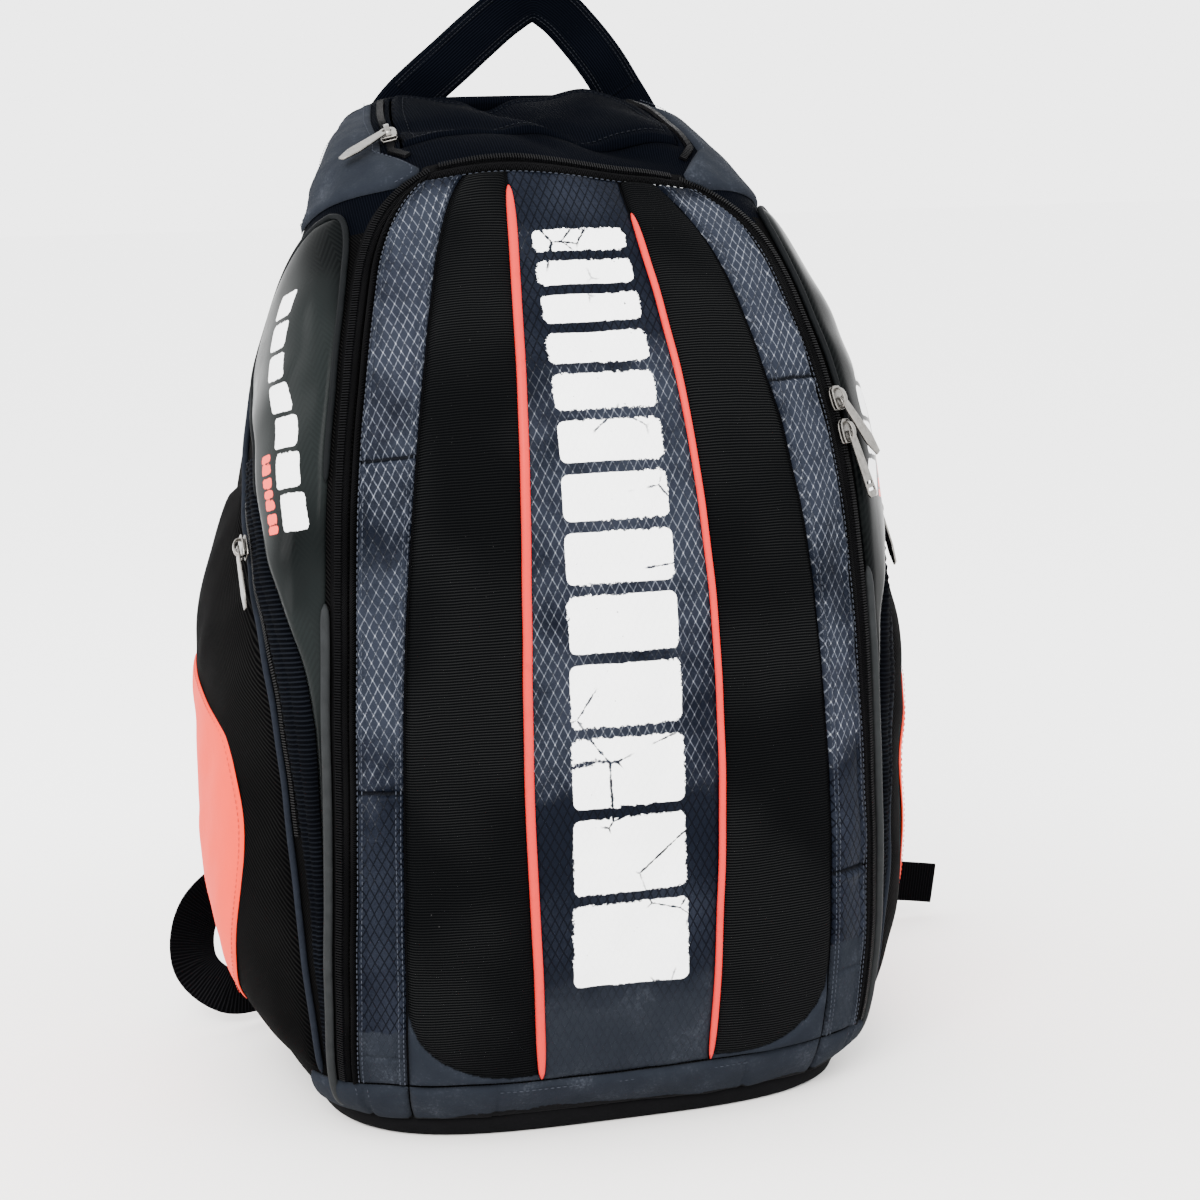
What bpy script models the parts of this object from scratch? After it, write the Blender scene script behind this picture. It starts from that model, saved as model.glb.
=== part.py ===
"""Racket backpack: a soft two-compartment pack built from its sewn panels, zips and straps.

Metres, +Z up, +X to the right as seen from the front, front face towards -Y.
The origin is the centre of the underside of the base panel.
"""
import math

import bmesh
import bpy
from mathutils import Matrix, Vector

# ---------------------------------------------------------------- driving dimensions
# Body sections, from the base to the back of the roof. Each is a rounded section in a
# plane through its front and back points: front y, front z, back y, back z, half width.
SECTIONS = (
    (-0.098, 0.0100, 0.100, 0.010, 0.134),
    (-0.110, 0.0300, 0.106, 0.026, 0.149),
    (-0.120, 0.0850, 0.112, 0.075, 0.157),
    (-0.124, 0.1650, 0.112, 0.140, 0.156),
    (-0.121, 0.2450, 0.112, 0.205, 0.158),
    (-0.106, 0.3250, 0.112, 0.270, 0.155),
    (-0.078, 0.3900, 0.112, 0.330, 0.142),
    (-0.046, 0.4360, 0.112, 0.375, 0.123),
    (-0.008, 0.4660, 0.112, 0.410, 0.108),
    (0.045, 0.4860, 0.111, 0.440, 0.096),
    (0.085, 0.4935, 0.108, 0.462, 0.084),
)
FRONT_POWER = 3.4            # squareness of the front half of a section
BACK_POWER = 4.0             # squareness of its back half
BACK_SHARE = 0.45            # share of the depth that lies behind the section's centre

# Seams on the front, as half widths at each section: centre panel, ribbed panel, lid.
CENTRE_HALF = (0.042, 0.0418, 0.0440, 0.0465, 0.0450, 0.0405, 0.0345, 0.0295, 0.028, 0.028, 0.027)
RIB_HALF = (0.099, 0.1035, 0.1045, 0.1035, 0.0995, 0.0895, 0.0760, 0.0620, 0.050, 0.047, 0.042)
LID_HALF = (0.116, 0.1245, 0.1260, 0.1235, 0.1205, 0.1145, 0.1020, 0.0870, 0.068, 0.063, 0.055)
# Seams on the side, as shares of the way from the front zip to the back edge.
POCKET_SHARE = (0.05, 0.05, 0.09, 0.16, 0.22, 0.42, 0.46, 0.40, 0.36, 0.36, 0.36)
CORAL_SHARE = (0.58, 0.56, 0.33, 0.28, 0.46, 0.84, 0.90, 0.90, 0.90, 0.90, 0.90)
BACK_INSET = 0.030           # from the widest line of the side to the back panel's edge

SHELL = 0.0030               # padded wall
SKIN = 0.0012                # single layer of fabric over a wall
GAP = 0.0003                 # clearance between touching layers
TAPE = 0.0030                # visible width of the zip tape on a moving edge
FIXED_TAPE = 0.0086          # width of the fixed tape, which carries the slider
ZIP_GAP = 0.0012             # slit between two zip tapes
SEAM_GAP = 0.0008            # slit between two panels
PIPING_R = 0.0015
SIDE_PIPING_R = 0.0018
CORNER_ROUND = 0.022         # how far the lid's top corners are rounded off

# Places along the sections, counted in sections from the base.
LID_FROM, LID_TO = 1.05, 7.50
LID_TAPE_FROM = 7.42
TOP_TAPE_FROM, TOP_TAPE_TO = 7.525, 7.62
FLAP_FROM, FLAP_TO = 8.13, 9.85
POCKET_FROM, POCKET_TO = 1.10, 5.20
BULGE = 0.0215               # how far a side pocket stands out
BACK_ROWS = (1.5, 9.5)      # the back padding, from its lower edge to its upper one

BASE_T = 0.0089              # base board
DIVIDER_Y, DIVIDER_T = -0.012, 0.005
PAD_T = 0.008                # back padding

# The handle's outer and inner edges from end to end, as x and height over its hinge.
HANDLE_OUTER = ((-0.070, 0.0), (-0.040, 0.0245), (-0.008, 0.0510), (0.012, 0.0655), (0.022, 0.0690),
                (0.033, 0.0660), (0.056, 0.0450), (0.078, 0.0220), (0.093, 0.0))
HANDLE_INNER = ((0.049, 0.0), (0.040, 0.0185), (0.028, 0.0350), (0.021, 0.0400), (0.012, 0.0360),
                (-0.010, 0.0190), (-0.030, 0.0))
HANDLE_T = 0.005
HANDLE_HINGE = (0.101, 0.4910)

STRAP_X, STRAP_W, STRAP_T = 0.060, 0.058, 0.010
STRAP_HINGE = (0.1240, 0.4370)
STRAP_LINE = (
    (0.126, 0.4360), (0.148, 0.4180), (0.163, 0.3700), (0.168, 0.3100), (0.162, 0.2500),
    (0.150, 0.2000), (0.143, 0.1750),
)
BUCKLE_W, BUCKLE_H, BUCKLE_T = 0.036, 0.024, 0.0045
BUCKLE_TOP = (0.1415, 0.1685)
WEB_W, WEB_T = 0.025, 0.0016
TAIL_LINES = {
    "right": ((0.060, 0.1490, 0.1580), (0.072, 0.1640, 0.1250), (0.110, 0.1750, 0.0720),
              (0.180, 0.1750, 0.0340), (0.274, 0.1650, 0.0190)),
    "left": ((0.060, 0.1490, 0.1580), (0.060, 0.1600, 0.1360), (0.060, 0.1680, 0.1080),
             (0.060, 0.1700, 0.0760)),
}

SLIDER_L, SLIDER_W, SLIDER_H = 0.0105, 0.0078, 0.0030
SLIDER_LIFT = 0.0031         # underside of a slider above the wall
PULL_L, PULL_W, PULL_T = 0.034, 0.0075, 0.0012

SAMPLES = 96                 # points measured along half a section

# ---------------------------------------------------------------- scene and materials
for old in list(bpy.data.objects):
    bpy.data.objects.remove(old)

pack = bpy.data.collections.new("racket_backpack")
bpy.context.scene.collection.children.link(pack)
cutters = bpy.data.collections.new("cutters")
bpy.context.scene.collection.children.link(cutters)


def material(name, colour, roughness=0.8, metallic=0.0):
    """A plain Principled material; colour is linear RGB."""
    made = bpy.data.materials.new(name)
    made.use_nodes = True
    shader = made.node_tree.nodes["Principled BSDF"]
    shader.inputs["Base Color"].default_value = (*colour, 1.0)
    shader.inputs["Roughness"].default_value = roughness
    shader.inputs["Metallic"].default_value = metallic
    return made


RIPSTOP = material("ripstop", (0.055, 0.066, 0.095), 0.55)
NAVY = material("navy_fabric", (0.032, 0.040, 0.062), 0.85)
RIBBED = material("ribbed_fabric", (0.008, 0.008, 0.009), 0.9)
KNIT = material("knit_fabric", (0.005, 0.006, 0.009), 0.95)
BLACK = material("black_fabric", (0.007, 0.007, 0.008), 0.9)
GLOSSY = material("glossy_vinyl", (0.012, 0.015, 0.016), 0.18)
CORAL = material("coral_fabric", (0.90, 0.16, 0.12), 0.55)
CORAL_TUBE = material("coral_piping", (0.85, 0.09, 0.08), 0.4)
TAPE_FABRIC = material("zip_tape", (0.006, 0.006, 0.007), 0.85)
WEBBING = material("webbing", (0.006, 0.006, 0.007), 0.8)
FOAM = material("foam", (0.02, 0.02, 0.022), 0.95)
BOARD = material("base_board", (0.01, 0.01, 0.011), 0.7)
NICKEL = material("nickel", (0.42, 0.40, 0.37), 0.3, 1.0)
PLASTIC = material("buckle_plastic", (0.008, 0.008, 0.009), 0.45)


def add_object(name, mesh, finish):
    """Put a mesh into the pack's collection with its one material."""
    mesh.materials.clear()
    mesh.materials.append(finish)
    made = bpy.data.objects.new(name, mesh)
    pack.objects.link(made)
    return made


def add_pivot(name, place):
    """An empty on a joint's axis, to carry the pieces that turn with it."""
    pivot = bpy.data.objects.new(name, None)
    pivot.empty_display_size = 0.01
    pivot.location = place
    pack.objects.link(pivot)
    return pivot


def carry(pivot, *pieces):
    """Parent pieces to a pivot without moving them."""
    bpy.context.view_layer.update()
    for piece in pieces:
        piece.parent = pivot
        piece.matrix_parent_inverse = pivot.matrix_world.inverted()


# ---------------------------------------------------------------- the pack's surface
def along(values, v):
    """Smooth reading of a list of numbers, one for each section, at place v."""
    i = min(max(int(math.floor(v)), 0), len(values) - 2)
    t = v - i
    a, b = values[i], values[i + 1]
    before = values[i - 1] if i > 0 else 2 * a - b
    after = values[i + 2] if i + 2 < len(values) else 2 * b - a
    slope_a, slope_b = (b - before) / 2, (after - a) / 2
    return (a * (2 * t ** 3 - 3 * t ** 2 + 1) + slope_a * (t ** 3 - 2 * t ** 2 + t)
            + b * (3 * t ** 2 - 2 * t ** 3) + slope_b * (t ** 3 - t ** 2))


def section_point(v, angle):
    """Point at an angle from the front centre (0) round the right side to the back (pi)."""
    front_y, front_z, back_y, back_z, half = (along([s[i] for s in SECTIONS], v) for i in range(5))
    front = Vector((0, front_y, front_z))
    back = Vector((0, back_y, back_z))
    centre = back.lerp(front, BACK_SHARE)
    power = FRONT_POWER if angle <= math.pi / 2 else BACK_POWER
    reach = (front if angle <= math.pi / 2 else back) - centre
    across = half * abs(math.sin(angle)) ** (2 / power)
    return centre + reach * abs(math.cos(angle)) ** (2 / power) + Vector((across, 0, 0))


sections = {}


def section(v):
    """Sampled half section at v: points, and the distance along it to each point."""
    key = round(v, 6)
    if key not in sections:
        points = [section_point(v, math.pi * i / SAMPLES) for i in range(SAMPLES + 1)]
        lengths = [0.0]
        for a, b in zip(points, points[1:]):
            lengths.append(lengths[-1] + (b - a).length)
        sections[key] = (points, lengths)
    return sections[key]


def at(v, s):
    """Surface point at distance s round from the front centre, negative on the left."""
    points, lengths = section(v)
    reach = min(abs(s), lengths[-1])
    i = next(k for k in range(1, len(lengths)) if lengths[k] >= reach - 1e-12)
    span = lengths[i] - lengths[i - 1]
    found = points[i - 1].lerp(points[i], (reach - lengths[i - 1]) / span)
    return Vector((math.copysign(found.x, s) if s else 0.0, found.y, found.z))


def normal(v, s):
    """Outward direction of the surface."""
    dv, ds = 0.05, 0.003
    up = at(min(v + dv, 10.0), s) - at(max(v - dv, 0.0), s)
    _, lengths = section(v)
    inside = min(max(s, -lengths[-1] + ds), lengths[-1] - ds)
    round_it = at(v, inside + ds) - at(v, inside - ds)
    return round_it.cross(up).normalized()


def reach_of(v, x):
    """Distance round the section at which the half width is x, on the front."""
    points, lengths = section(v)
    i = next(k for k in range(1, len(points)) if points[k].x >= x)
    share = (x - points[i - 1].x) / (points[i].x - points[i - 1].x)
    return lengths[i - 1] + share * (lengths[i] - lengths[i - 1])


def corner(v):
    """Rounding of the lid's top corners, fading out again over the roof."""
    if v <= LID_TO:
        t = min(max((v - 6.5) / (LID_TO - 6.5), 0.0), 1.0)
        return CORNER_ROUND * (1 - math.sqrt(1 - t * t))
    return CORNER_ROUND * max(0.0, 1 - max(0.0, v - TOP_TAPE_TO) / 0.45)


def centre_edge(v):
    return reach_of(v, along(CENTRE_HALF, v))


def rib_edge(v):
    return reach_of(v, along(RIB_HALF, v) - 0.7 * corner(v))


def lid_edge(v):
    return reach_of(v, along(LID_HALF, v) - corner(v))


def back_edge(v):
    _, lengths = section(v)
    return lengths[-1] - (along([s[4] for s in SECTIONS], v) - BACK_INSET)


def side_place(v, share):
    """Distance round at a share of the way from the front zip to the back edge."""
    start = lid_edge(v) + TAPE + ZIP_GAP + FIXED_TAPE
    return start + share * (back_edge(v) - start)


def pocket_seam(v):
    return side_place(v, along(POCKET_SHARE, v))


def coral_seam(v):
    return side_place(v, along(CORAL_SHARE, v))


def half_round(v):
    return section(v)[1][-1]


# Columns of the shared grid, from the front centre to the back centre of the right half.
def blend(first, second, share):
    return lambda v: first(v) + share * (second(v) - first(v))


def shifted(seam, step):
    return lambda v: seam(v) + step


CENTRE = (lambda v: 0.0)
PIPE_IN, PIPE_OUT = shifted(centre_edge, -0.0020), shifted(centre_edge, 0.0020)
RIB_IN, RIB_OUT = shifted(rib_edge, -SEAM_GAP / 2), shifted(rib_edge, SEAM_GAP / 2)
BAND_OUT, TAPE_IN = shifted(lid_edge, -SEAM_GAP), lid_edge
LID_OUT, FIXED_IN = shifted(lid_edge, TAPE), shifted(lid_edge, TAPE + ZIP_GAP)
TAPE_OUT = shifted(lid_edge, TAPE + ZIP_GAP + FIXED_TAPE)
SIDE_IN = shifted(TAPE_OUT, 0.001)
LENS_OUT, POCKET_IN = shifted(pocket_seam, -0.0034), shifted(pocket_seam, 0.0034)
POCKET_OUT = shifted(back_edge, -0.002)
FRONT_COLUMNS = [CENTRE, blend(CENTRE, PIPE_IN, 0.5), PIPE_IN, PIPE_OUT, blend(PIPE_OUT, RIB_IN, 0.5),
                 RIB_IN, RIB_OUT, BAND_OUT, TAPE_IN, LID_OUT]
SIDE_COLUMNS = [FIXED_IN, TAPE_OUT, SIDE_IN, blend(SIDE_IN, LENS_OUT, 0.5), LENS_OUT, POCKET_IN,
                blend(POCKET_IN, coral_seam, 0.5), coral_seam, blend(coral_seam, POCKET_OUT, 0.5),
                POCKET_OUT, back_edge]
BACK_COLUMNS = [blend(back_edge, half_round, 0.35), blend(back_edge, half_round, 0.7), half_round]
ROWS = [0.0, 0.45, 1.02, LID_FROM, POCKET_FROM, 1.5, 2.0, 2.5, 3.0, 3.5, 4.0, 4.5, 5.0, POCKET_TO, 5.6,
        6.0, 6.5, 6.8, 7.05, 7.25, LID_TAPE_FROM, LID_TO, TOP_TAPE_FROM, TOP_TAPE_TO, 8.1, FLAP_FROM, 8.5,
        9.0, 9.5, FLAP_TO, 9.88, 10.0]


def rows_between(low, high):
    return [v for v in ROWS if low - 1e-9 <= v <= high + 1e-9]


def mirrored(columns):
    """The columns of the left half, then those of the right half, sharing the centre one."""
    left = [(lambda v, c=c: -c(v)) for c in reversed(columns[1:])]
    return left + columns


def no_bump(_v, _s):
    return 0.0


def split(ring, rising):
    """The two triangles of a grid cell, cut the same way in every layer."""
    a, b, c, d = ring
    return [(a, b, c), (a, c, d)] if rising else [(a, b, d), (b, c, d)]


def panel(name, finish, columns, rows, inner, outer, keep=None, bump=no_bump, swell=no_bump, loop=False):
    """A closed sheet between two distances from the surface, over the grid cells kept.

    keep(column, row) names the cells; bump(v, s) lifts both faces and swell(v, s) only the
    outer one; loop joins the last column to the first, for a wall that runs all the way round.
    """
    keep = keep or (lambda _j, _k: True)
    count = len(columns)
    steps = count if loop else count - 1
    cells = [(j, k) for k in range(len(rows) - 1) for j in range(steps) if keep(j, k)]
    mesh = bmesh.new()
    corners = {}

    def vertex(j, k, is_outer):
        key = (j % count, k, is_outer)
        if key not in corners:
            v = rows[k]
            s = columns[j % count](v)
            lift = bump(v, s) + (outer + swell(v, s) if is_outer else inner)
            corners[key] = mesh.verts.new(at(v, s) + normal(v, s) * lift)
        return corners[key]

    wall_count = {}
    for j, k in cells:
        ring = [(j, k), ((j + 1) % count, k), ((j + 1) % count, k + 1), (j, k + 1)]
        for triple in split(ring, abs(columns[j](rows[k])) < abs(columns[(j + 1) % count](rows[k]))):
            mesh.faces.new([vertex(a, b, True) for a, b in triple])
            mesh.faces.new([vertex(a, b, False) for a, b in reversed(triple)])
        for a, b in zip(ring, ring[1:] + ring[:1]):
            wall_count.setdefault(frozenset((a, b)), []).append((a, b))
    for uses in wall_count.values():
        if len(uses) == 1:
            a, b = uses[0]
            mesh.faces.new([vertex(*b, True), vertex(*a, True), vertex(*a, False), vertex(*b, False)])
    bmesh.ops.recalc_face_normals(mesh, faces=mesh.faces)
    data = bpy.data.meshes.new(name)
    mesh.to_mesh(data)
    mesh.free()
    return add_object(name, data, finish)


def on_side(side, columns):
    """The same columns on the right (1) or left (-1) side, kept in rising order."""
    if side > 0:
        return columns
    return [(lambda v, c=c: -c(v)) for c in reversed(columns)]


# ---------------------------------------------------------------- other building tools
def prism(name, finish, outline, thickness):
    """A flat plate from a closed outline in its own XY plane, centred on that plane."""
    curve = bpy.data.curves.new(name, "CURVE")
    curve.dimensions = "2D"
    curve.fill_mode = "BOTH"
    curve.extrude = thickness / 2
    spline = curve.splines.new("POLY")
    spline.points.add(len(outline) - 1)
    for point, (x, y) in zip(spline.points, outline):
        point.co = (x, y, 0, 1)
    spline.use_cyclic_u = True
    temporary = bpy.data.objects.new(name, curve)
    bpy.context.scene.collection.objects.link(temporary)
    bpy.context.view_layer.update()
    evaluated = temporary.evaluated_get(bpy.context.evaluated_depsgraph_get())
    data = bpy.data.meshes.new_from_object(evaluated)
    bpy.data.objects.remove(temporary)
    mesh = bmesh.new()
    mesh.from_mesh(data)
    bmesh.ops.remove_doubles(mesh, verts=mesh.verts, dist=0.00001)
    bmesh.ops.recalc_face_normals(mesh, faces=mesh.faces)
    mesh.to_mesh(data)
    mesh.free()
    data.name = name
    return add_object(name, data, finish)


def box(name, finish, size, bevel=0.0):
    """A box about its own origin, with rounded edges where a bevel is given."""
    mesh = bmesh.new()
    bmesh.ops.create_cube(mesh, size=1.0)
    bmesh.ops.scale(mesh, vec=size, verts=mesh.verts)
    data = bpy.data.meshes.new(name)
    mesh.to_mesh(data)
    mesh.free()
    made = add_object(name, data, finish)
    if bevel:
        rounding = made.modifiers.new("rounding", "BEVEL")
        rounding.width = bevel
        rounding.segments = 2
    return made


def cut(target, cutter):
    """Take a cutter out of a piece and keep the cutter out of sight."""
    pack.objects.unlink(cutter)
    cutters.objects.link(cutter)
    cutter.hide_render = True
    cutter.display_type = "WIRE"
    boolean = target.modifiers.new("cut", "BOOLEAN")
    boolean.operation = "DIFFERENCE"
    boolean.solver = "EXACT"
    boolean.object = cutter


def smooth_line(points, steps):
    """Points of a smooth line through the given ones, with steps pieces between each two."""
    columns = [[p[i] for p in points] for i in range(len(points[0]))]
    count = (len(points) - 1) * steps
    return [tuple(along(c, n / steps) for c in columns) for n in range(count + 1)]


def tube(name, finish, points, radius):
    """A round cord along a smooth line, closed at both ends."""
    curve = bpy.data.curves.new(name, "CURVE")
    curve.dimensions = "3D"
    curve.bevel_depth = radius
    curve.bevel_resolution = 2
    curve.use_fill_caps = True
    spline = curve.splines.new("POLY")
    spline.points.add(len(points) - 1)
    for point, place in zip(spline.points, points):
        point.co = (*place, 1)
    made = bpy.data.objects.new(name, curve)
    curve.materials.append(finish)
    pack.objects.link(made)
    return made


def ribbon(name, finish, points, across, width, thickness):
    """A flat strap along a line; across gives the direction of its width at each point."""
    mesh = bmesh.new()
    places = [Vector(p) for p in points]
    rings = []
    for i, place in enumerate(places):
        ahead = (places[min(i + 1, len(places) - 1)] - places[max(i - 1, 0)]).normalized()
        wide = Vector(across[i]) - ahead * Vector(across[i]).dot(ahead)
        wide.normalize()
        thick = ahead.cross(wide) * (thickness / 2)
        wide *= width / 2
        corners = ((-1, -1), (1, -1), (1, 1), (-1, 1))
        rings.append([mesh.verts.new(place + a * wide + b * thick) for a, b in corners])
    for first, second in zip(rings, rings[1:]):
        for i in range(4):
            mesh.faces.new((first[i], first[(i + 1) % 4], second[(i + 1) % 4], second[i]))
    mesh.faces.new(list(reversed(rings[0])))
    mesh.faces.new(rings[-1])
    bmesh.ops.recalc_face_normals(mesh, faces=mesh.faces)
    data = bpy.data.meshes.new(name)
    mesh.to_mesh(data)
    mesh.free()
    return add_object(name, data, finish)


def facing(points, out):
    """Width directions of a ribbon that shows its flat side towards out all along a line."""
    places = [Vector(p) for p in points]
    last = len(places) - 1
    return [Vector(out).cross(places[min(i + 1, last)] - places[max(i - 1, 0)]) for i in range(last + 1)]


# ---------------------------------------------------------------- the fixed body
def in_lid(v_low, v_high):
    return LID_FROM - 0.04 < v_low and v_high < TOP_TAPE_FROM + 0.001


def in_flap(v_low, v_high):
    return v_low > 8.09 and v_high < 9.881


def make_main_shell():
    """The padded wall of the whole body, open at the lid, the top flap and the base."""
    columns = mirrored(FRONT_COLUMNS + SIDE_COLUMNS + BACK_COLUMNS[:-1])
    columns.append(half_round)
    mouth = len(SIDE_COLUMNS + BACK_COLUMNS[:-1])
    width = 2 * len(FRONT_COLUMNS)

    def keep(j, k):
        across_front = mouth - 1 < j + 0.5 < mouth + width - 1
        low, high = ROWS[k], ROWS[k + 1]
        return not (across_front and (in_lid(low, high) or in_flap(low, high)))

    return panel("main_shell", BLACK, columns, ROWS, -SHELL, 0.0, keep, loop=True)


def make_base_panel():
    """The flat base, a rounded plate that the body's wall stands on."""
    outline = []
    for side in (1, -1):
        angles = range(SAMPLES + 1) if side > 0 else range(SAMPLES - 1, 0, -1)
        for i in angles:
            if i % 4 == 0:
                point = section_point(0.0, math.pi * i / SAMPLES)
                outline.append((side * point.x, point.y))
    plate = prism("base_panel", BOARD, outline, BASE_T)
    plate.location = (0, 0, BASE_T / 2)
    return plate


def make_divider():
    """The padded wall between the two compartments."""
    outline = []
    for k in range(15):
        v = 0.15 + k * 0.47
        half = along([s[4] for s in SECTIONS], v) - SHELL - 0.012
        low, high = along([s[3] for s in SECTIONS], v), along([s[1] for s in SECTIONS], v)
        outline.append((half, low + BACK_SHARE * (high - low)))
    outline.append((0.6 * outline[-1][0], outline[-1][1] + 0.006))
    left = [(-x, z) for x, z in reversed(outline)]
    plate = prism("divider", FOAM, outline + left, DIVIDER_T)
    plate.rotation_euler = (math.pi / 2, 0, 0)
    plate.location = (0, DIVIDER_Y, 0.004)
    return plate


def back_swell(v, s):
    """Roundness of the back padding: thin at its edge, full inside."""
    low, high = BACK_ROWS
    edge = min((abs(s) - back_edge(v)) / 0.03, (v - low) / 0.8, (high - v) / 0.8, 1.0)
    return PAD_T * (0.35 + 0.65 * max(edge, 0.0))


def make_back_panel():
    """The padded panel that rests on the wearer's back."""
    right = list(reversed([back_edge, *BACK_COLUMNS[:-1]]))
    left = [(lambda v, c=c: -c(v)) for c in reversed(right)]
    columns = left + [half_round] + right
    return panel("back_panel", FOAM, columns, rows_between(*BACK_ROWS), GAP, GAP, swell=back_swell)


def make_back_yoke():
    """The sewn yoke that closes the top of the back, where the handle and straps start."""
    front_y, front_z, back_y, back_z, _half = SECTIONS[-1]
    back = Vector((0, back_y, back_z))
    ahead = Vector((0, front_y, front_z)) - back
    outline = []
    for side in (1, -1):
        steps = range(SAMPLES + 1) if side > 0 else range(SAMPLES - 1, 0, -1)
        for i in steps:
            if i % 4 == 0:
                point = section_point(10.0, math.pi * i / SAMPLES)
                outline.append((side * point.x, (point - back).dot(ahead) / ahead.length))
    plate = prism("back_yoke", KNIT, outline, SHELL)
    inward = Vector((1, 0, 0)).cross(ahead.normalized())
    turn = Matrix((Vector((1, 0, 0)), ahead.normalized(), inward)).transposed()
    plate.matrix_world = Matrix.Translation(back - inward * (SHELL / 2 + GAP)) @ turn.to_4x4()
    return plate


def make_bottom_band():
    """The worn fabric band along the front of the base, and its two corner patches."""
    rows = rows_between(0.0, 1.02)
    panel("bottom_band", NAVY, mirrored(FRONT_COLUMNS[:6]), rows, GAP, GAP + SKIN)
    for side, word in ((1, "right"), (-1, "left")):
        columns = on_side(side, FRONT_COLUMNS[6:] + SIDE_COLUMNS[:4])
        panel(f"corner_patch_{word}", NAVY, columns, rows, GAP, GAP + SKIN)


def make_side_panels():
    """Glossy lens panels, piping, pockets and coral panels on both sides."""
    for side, word in ((1, "right"), (-1, "left")):
        lens = on_side(side, SIDE_COLUMNS[2:5])
        panel(f"side_panel_{word}", GLOSSY, lens, rows_between(LID_FROM, 7.25), GAP, GAP + SKIN)
        make_side_pocket(side, word)
        make_side_piping(side, word)
        patch = on_side(side, SIDE_COLUMNS[2:6])
        panel(f"shoulder_patch_{word}", NAVY, patch, rows_between(LID_TAPE_FROM, 9.88), GAP, GAP + SKIN)


def pocket_bump(v, s):
    """Height of a side pocket over the wall: nothing at its edges, full in the middle."""
    low, high = POCKET_IN(v), POCKET_OUT(v)
    across = (abs(s) - low) / (high - low)
    up = (v - POCKET_FROM) / (POCKET_TO - POCKET_FROM)
    across = min(max(across, 0.0), 1.0)
    up = min(max(up, 0.0), 1.0)
    return BULGE * (1 - abs(2 * across - 1) ** 2.6) * (1 - abs(2 * up - 1) ** 2.2)


def make_side_pocket(side, word):
    """A pocket standing out from the side wall, with a coral panel over its rear part."""
    rows = rows_between(POCKET_FROM, POCKET_TO)
    wall = 0.0020
    columns = on_side(side, SIDE_COLUMNS[5:10])
    panel(f"side_pocket_{word}", BLACK, columns, rows, GAP, GAP + wall, bump=pocket_bump)
    rear = on_side(side, SIDE_COLUMNS[7:10])
    lift = GAP + wall + GAP
    panel(f"coral_panel_{word}", CORAL, rear, rows_between(1.5, 4.5), lift, lift + SKIN, bump=pocket_bump)


def make_side_piping(side, word):
    """Dark piping in the seam between the glossy panel and the pocket."""
    places = [1.12 + 0.25 * k for k in range(24)]
    points = []
    for v in places:
        s = side * pocket_seam(v)
        points.append(at(v, s) + normal(v, s) * (SIDE_PIPING_R + GAP))
    tube(f"side_piping_{word}", NAVY, points, SIDE_PIPING_R)


def make_fixed_tapes():
    """The fixed side of the front arch zip, and that of the main zip round the flap."""
    columns = mirrored(FRONT_COLUMNS + SIDE_COLUMNS[:2])
    rows = rows_between(LID_FROM, TOP_TAPE_TO)
    last = len(columns) - 2
    top = len(rows) - 2
    panel("front_zip_tape", TAPE_FABRIC, columns, rows, GAP, GAP + SKIN,
          keep=lambda j, k: j in (0, last) or k == top)


# ---------------------------------------------------------------- the front lid
def make_lid():
    """The padded front lid with its centre panel, ribbed panels, bands, piping and tape."""
    rows = rows_between(LID_FROM, LID_TO)
    panels_rows = rows_between(LID_FROM, 7.25)
    skin = (GAP, GAP + SKIN)
    columns = mirrored(FRONT_COLUMNS)
    pieces = [
        panel("lid_shell", BLACK, columns, rows, -SHELL, 0.0),
        panel("centre_panel", RIPSTOP, mirrored(FRONT_COLUMNS[:3]), panels_rows, *skin),
    ]
    last, top = len(columns) - 2, len(rows) - 2
    pieces.append(panel("lid_zip_tape", TAPE_FABRIC, columns, rows, *skin,
                        keep=lambda j, k: j in (0, last) or k == top))
    for side, word in ((1, "right"), (-1, "left")):
        ribbed, band = on_side(side, FRONT_COLUMNS[3:6]), on_side(side, FRONT_COLUMNS[6:8])
        pieces.append(panel(f"ribbed_panel_{word}", RIBBED, ribbed, panels_rows, *skin))
        pieces.append(panel(f"grey_band_{word}", RIPSTOP, band, panels_rows, *skin))
        pieces.append(make_piping(side, word))
    return pieces


def make_piping(side, word):
    """Coral piping along one edge of the centre panel."""
    points = []
    for k in range(26):
        v = LID_FROM + 0.08 + 0.24 * k
        s = side * centre_edge(v)
        points.append(at(v, s) + normal(v, s) * (PIPING_R + GAP))
    return tube(f"coral_piping_{word}", CORAL_TUBE, points, PIPING_R)


# ---------------------------------------------------------------- flap, handle and straps
def make_flap():
    """The knit flap that closes the main compartment."""
    rows = rows_between(FLAP_FROM, FLAP_TO)
    return panel("top_flap", KNIT, mirrored(FRONT_COLUMNS), rows, -SHELL, 0.0)


def make_handle():
    """The grab handle: a wide flat strap that stands as a pointed arch over its two sewn ends."""
    hinge_y, hinge_z = HANDLE_HINGE
    handle = prism("grab_handle", WEBBING, HANDLE_OUTER + HANDLE_INNER, HANDLE_T)
    handle.rotation_euler = (math.pi / 2, 0, 0)
    handle.location = (0, hinge_y, hinge_z)
    return handle


def make_strap(side, word):
    """One shoulder strap's pad, hanging from the back yoke."""
    line = smooth_line([(side * STRAP_X, y, z) for y, z in STRAP_LINE], 4)
    return ribbon(f"shoulder_strap_{word}", FOAM, line, [(1, 0, 0)] * len(line), STRAP_W, STRAP_T)


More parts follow.
